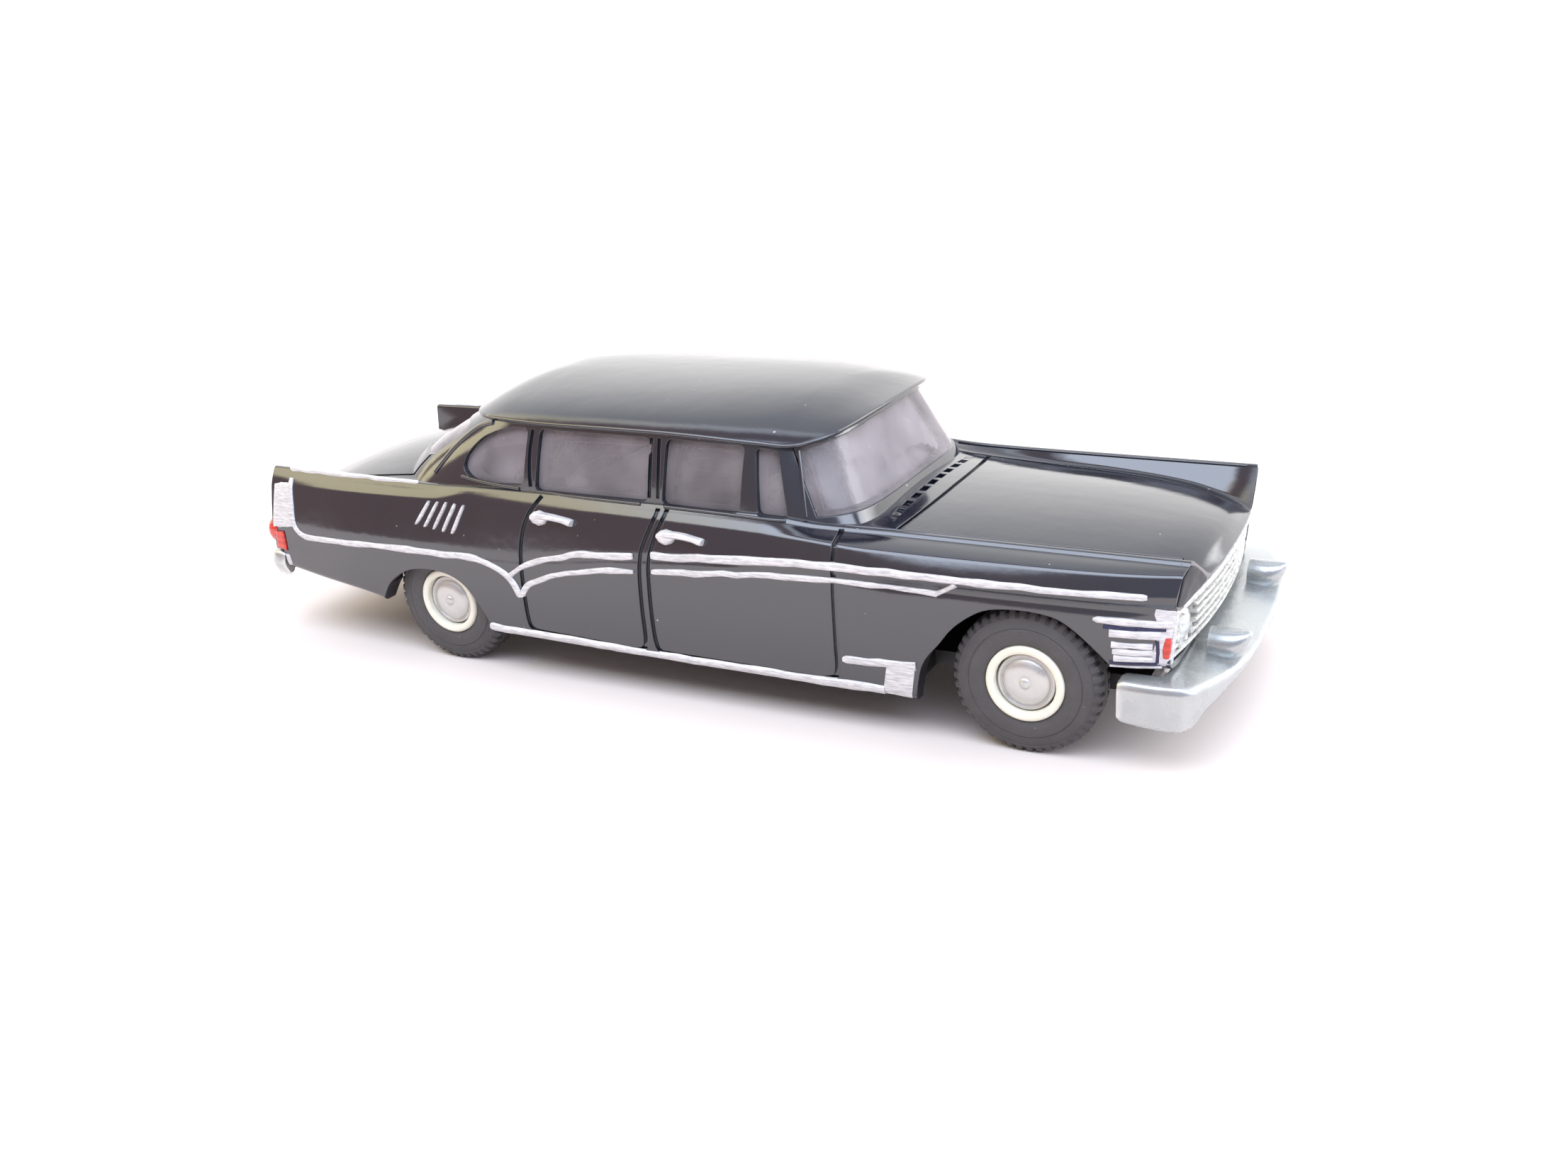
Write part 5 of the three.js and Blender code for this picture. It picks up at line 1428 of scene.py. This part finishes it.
def cap(name, x, face_y):
    side = np.sign(face_y)
    return turned(name, CAP_PROFILE, "y", (x, face_y, AXLE_Z), 72, direction=-side, smooth_angle=30)


def axle(name, x, reach):
    profile = [(0, -reach), (0.4, -reach), (0.49, -reach + 0.09), (0.49, -reach + 1.4), (0.47, -reach + 1.46),
               (0.47, reach - 1.46), (0.49, reach - 1.4), (0.49, reach - 0.09), (0.4, reach), (0, reach)]
    return turned(name, profile, "y", (x, 0, AXLE_Z), 40)


for label, x, reach, carrier in (("front", AXLE_X, FRONT_FACE_Y, "front_wheelset"),
                                 ("rear", -AXLE_X, REAR_FACE_Y, "rear_wheelset")):
    hand_over(axle(f"{label}_axle_rod", x, reach - 1.27), STEEL, carrier, "steel", f"{label}_axle")
    for side, face in (("right", -1), ("left", 1)):
        at = face * reach
        stem = f"{label}_{side}"
        hand_over(tyre(f"{stem}_rubber", x, at), RUBBER, carrier, "tyre_rubber", f"{stem}_tyre")
        hand_over(ring_part(f"{stem}_ring", x, at, RING), IVORY, carrier, "ivory_plastic", f"{stem}_whitewall")
        hand_over(ring_part(f"{stem}_disc", x, at, RIM), GREY, carrier, "grey_plastic", f"{stem}_rim")
        hand_over(cap(f"{stem}_cap", x, at), CAP, carrier, "satin_silver", f"{stem}_hubcap")

# ------------------------------------------------------------------ floor, light, camera
def stage_material(name, colour):
    material, tree, shader = new_material(name)
    where = coordinates(tree)
    tree.links.new(blend_colour(tree, noise(tree, where, 0.02), colour, tuple(c * 1.01 for c in colour)),
                   shader.inputs["Base Color"])
    shader.inputs["Roughness"].default_value = 0.9
    shader.inputs["Specular IOR Level"].default_value = 0.1
    return material


mesh = bpy.data.meshes.new("floor")
FLOOR_HALF = 3.0  # metres
mesh.from_pydata([(x * FLOOR_HALF, y * FLOOR_HALF, 0) for x, y in ((-1, -1), (1, -1), (1, 1), (-1, 1))], [],
                 [(0, 1, 2, 3)])
floor = bpy.data.objects.new("floor", mesh)
bpy.context.scene.collection.objects.link(floor)
mesh.materials.append(stage_material("paper", (0.74, 0.675, 0.64)))

world = bpy.data.worlds.new("studio")
bpy.context.scene.world = world
world.use_nodes = True


def paint_studio(tree):
    """Surroundings by direction: a bright sweep behind, a dim room in front, lamps overhead."""
    source = node(tree, "ShaderNodeTexCoord")
    axes = node(tree, "ShaderNodeSeparateXYZ")
    tree.links.new(source.outputs["Generated"], axes.inputs["Vector"])
    across_x, behind, height = axes.outputs["X"], axes.outputs["Y"], axes.outputs["Z"]
    sweep = blend_colour(tree, ramp(tree, height, 0.42, 0.8), (1.85, 1.82, 1.80), (1.05, 1.08, 1.14))
    warm_cool = blend_colour(tree, ramp(tree, across_x, -0.62, -0.38), (3.3, 2.95, 1.95), (3.8, 4.2, 5.0))
    girth = maths(tree, "SQRT", maths(tree, "SUBTRACT", 1.0, maths(tree, "MULTIPLY", across_x, across_x)), 0.0)
    pitch = maths(tree, "DIVIDE", height, girth)
    overhead = maths(tree, "MULTIPLY", ramp(tree, pitch, 0.66, 0.76), ramp(tree, pitch, 0.995, 0.97))
    dim = blend_colour(tree, ramp(tree, across_x, -0.6, 0.2), (0.55, 0.38, 0.34), (0.48, 0.48, 0.56))
    room = blend_colour(tree, overhead, dim, warm_cool)
    glare = maths(tree, "MULTIPLY", ramp(tree, across_x, 0.32, 0.46), ramp(tree, height, 0.26, 0.40))
    glare = maths(tree, "MULTIPLY", glare, ramp(tree, height, 0.75, 0.6))
    sweep = blend_colour(tree, glare, sweep, (6.0, 6.0, 6.1))
    colour = blend_colour(tree, ramp(tree, behind, 0.05, 0.3), room, sweep)
    background = tree.nodes["Background"]
    tree.links.new(colour, background.inputs["Color"])
    background.inputs["Strength"].default_value = 1.0


paint_studio(world.node_tree)


def hidden_sun(name, aim, strength, spread, colour):
    """A broad lamp that lights the floor and the sides but isn't mirrored in the lacquer."""
    data = bpy.data.lights.new(name, "SUN")
    data.energy = strength
    data.angle = math.radians(spread)
    data.color = colour
    holder = bpy.data.objects.new(name, data)
    bpy.context.scene.collection.objects.link(holder)
    holder.rotation_euler = Vector(aim).to_track_quat("-Z", "Y").to_euler()
    holder.visible_glossy = False


hidden_sun("ceiling", (-0.1, -0.2, -1), 0.7, 50, (1.0, 1.0, 1.0))


camera_data = bpy.data.cameras.new("camera")
camera_data.sensor_width = 36.0
camera_data.lens = 33.36
camera_data.clip_start = 0.005
camera = bpy.data.objects.new("camera", camera_data)
bpy.context.scene.collection.objects.link(camera)
CAMERA_PLACE = Vector((SHIFT_X + 40.28, -74.36, 35.64)) * MM
AZIMUTH, ELEVATION, ROLL = math.radians(28.63), math.radians(20.94), math.radians(-4.22)
back = Vector((math.sin(AZIMUTH) * math.cos(ELEVATION), -math.cos(AZIMUTH) * math.cos(ELEVATION),
               math.sin(ELEVATION)))
right = (-back).cross(Vector((0, 0, 1))).normalized()
up = right.cross(-back)
across = right * math.cos(ROLL) + up * math.sin(ROLL)
upward = up * math.cos(ROLL) - right * math.sin(ROLL)
turn = Matrix((across, upward, back)).transposed().to_4x4()
camera.matrix_world = Matrix.Translation(CAMERA_PLACE) @ turn
bpy.context.scene.camera = camera
bpy.context.scene.view_settings.view_transform = "Standard"
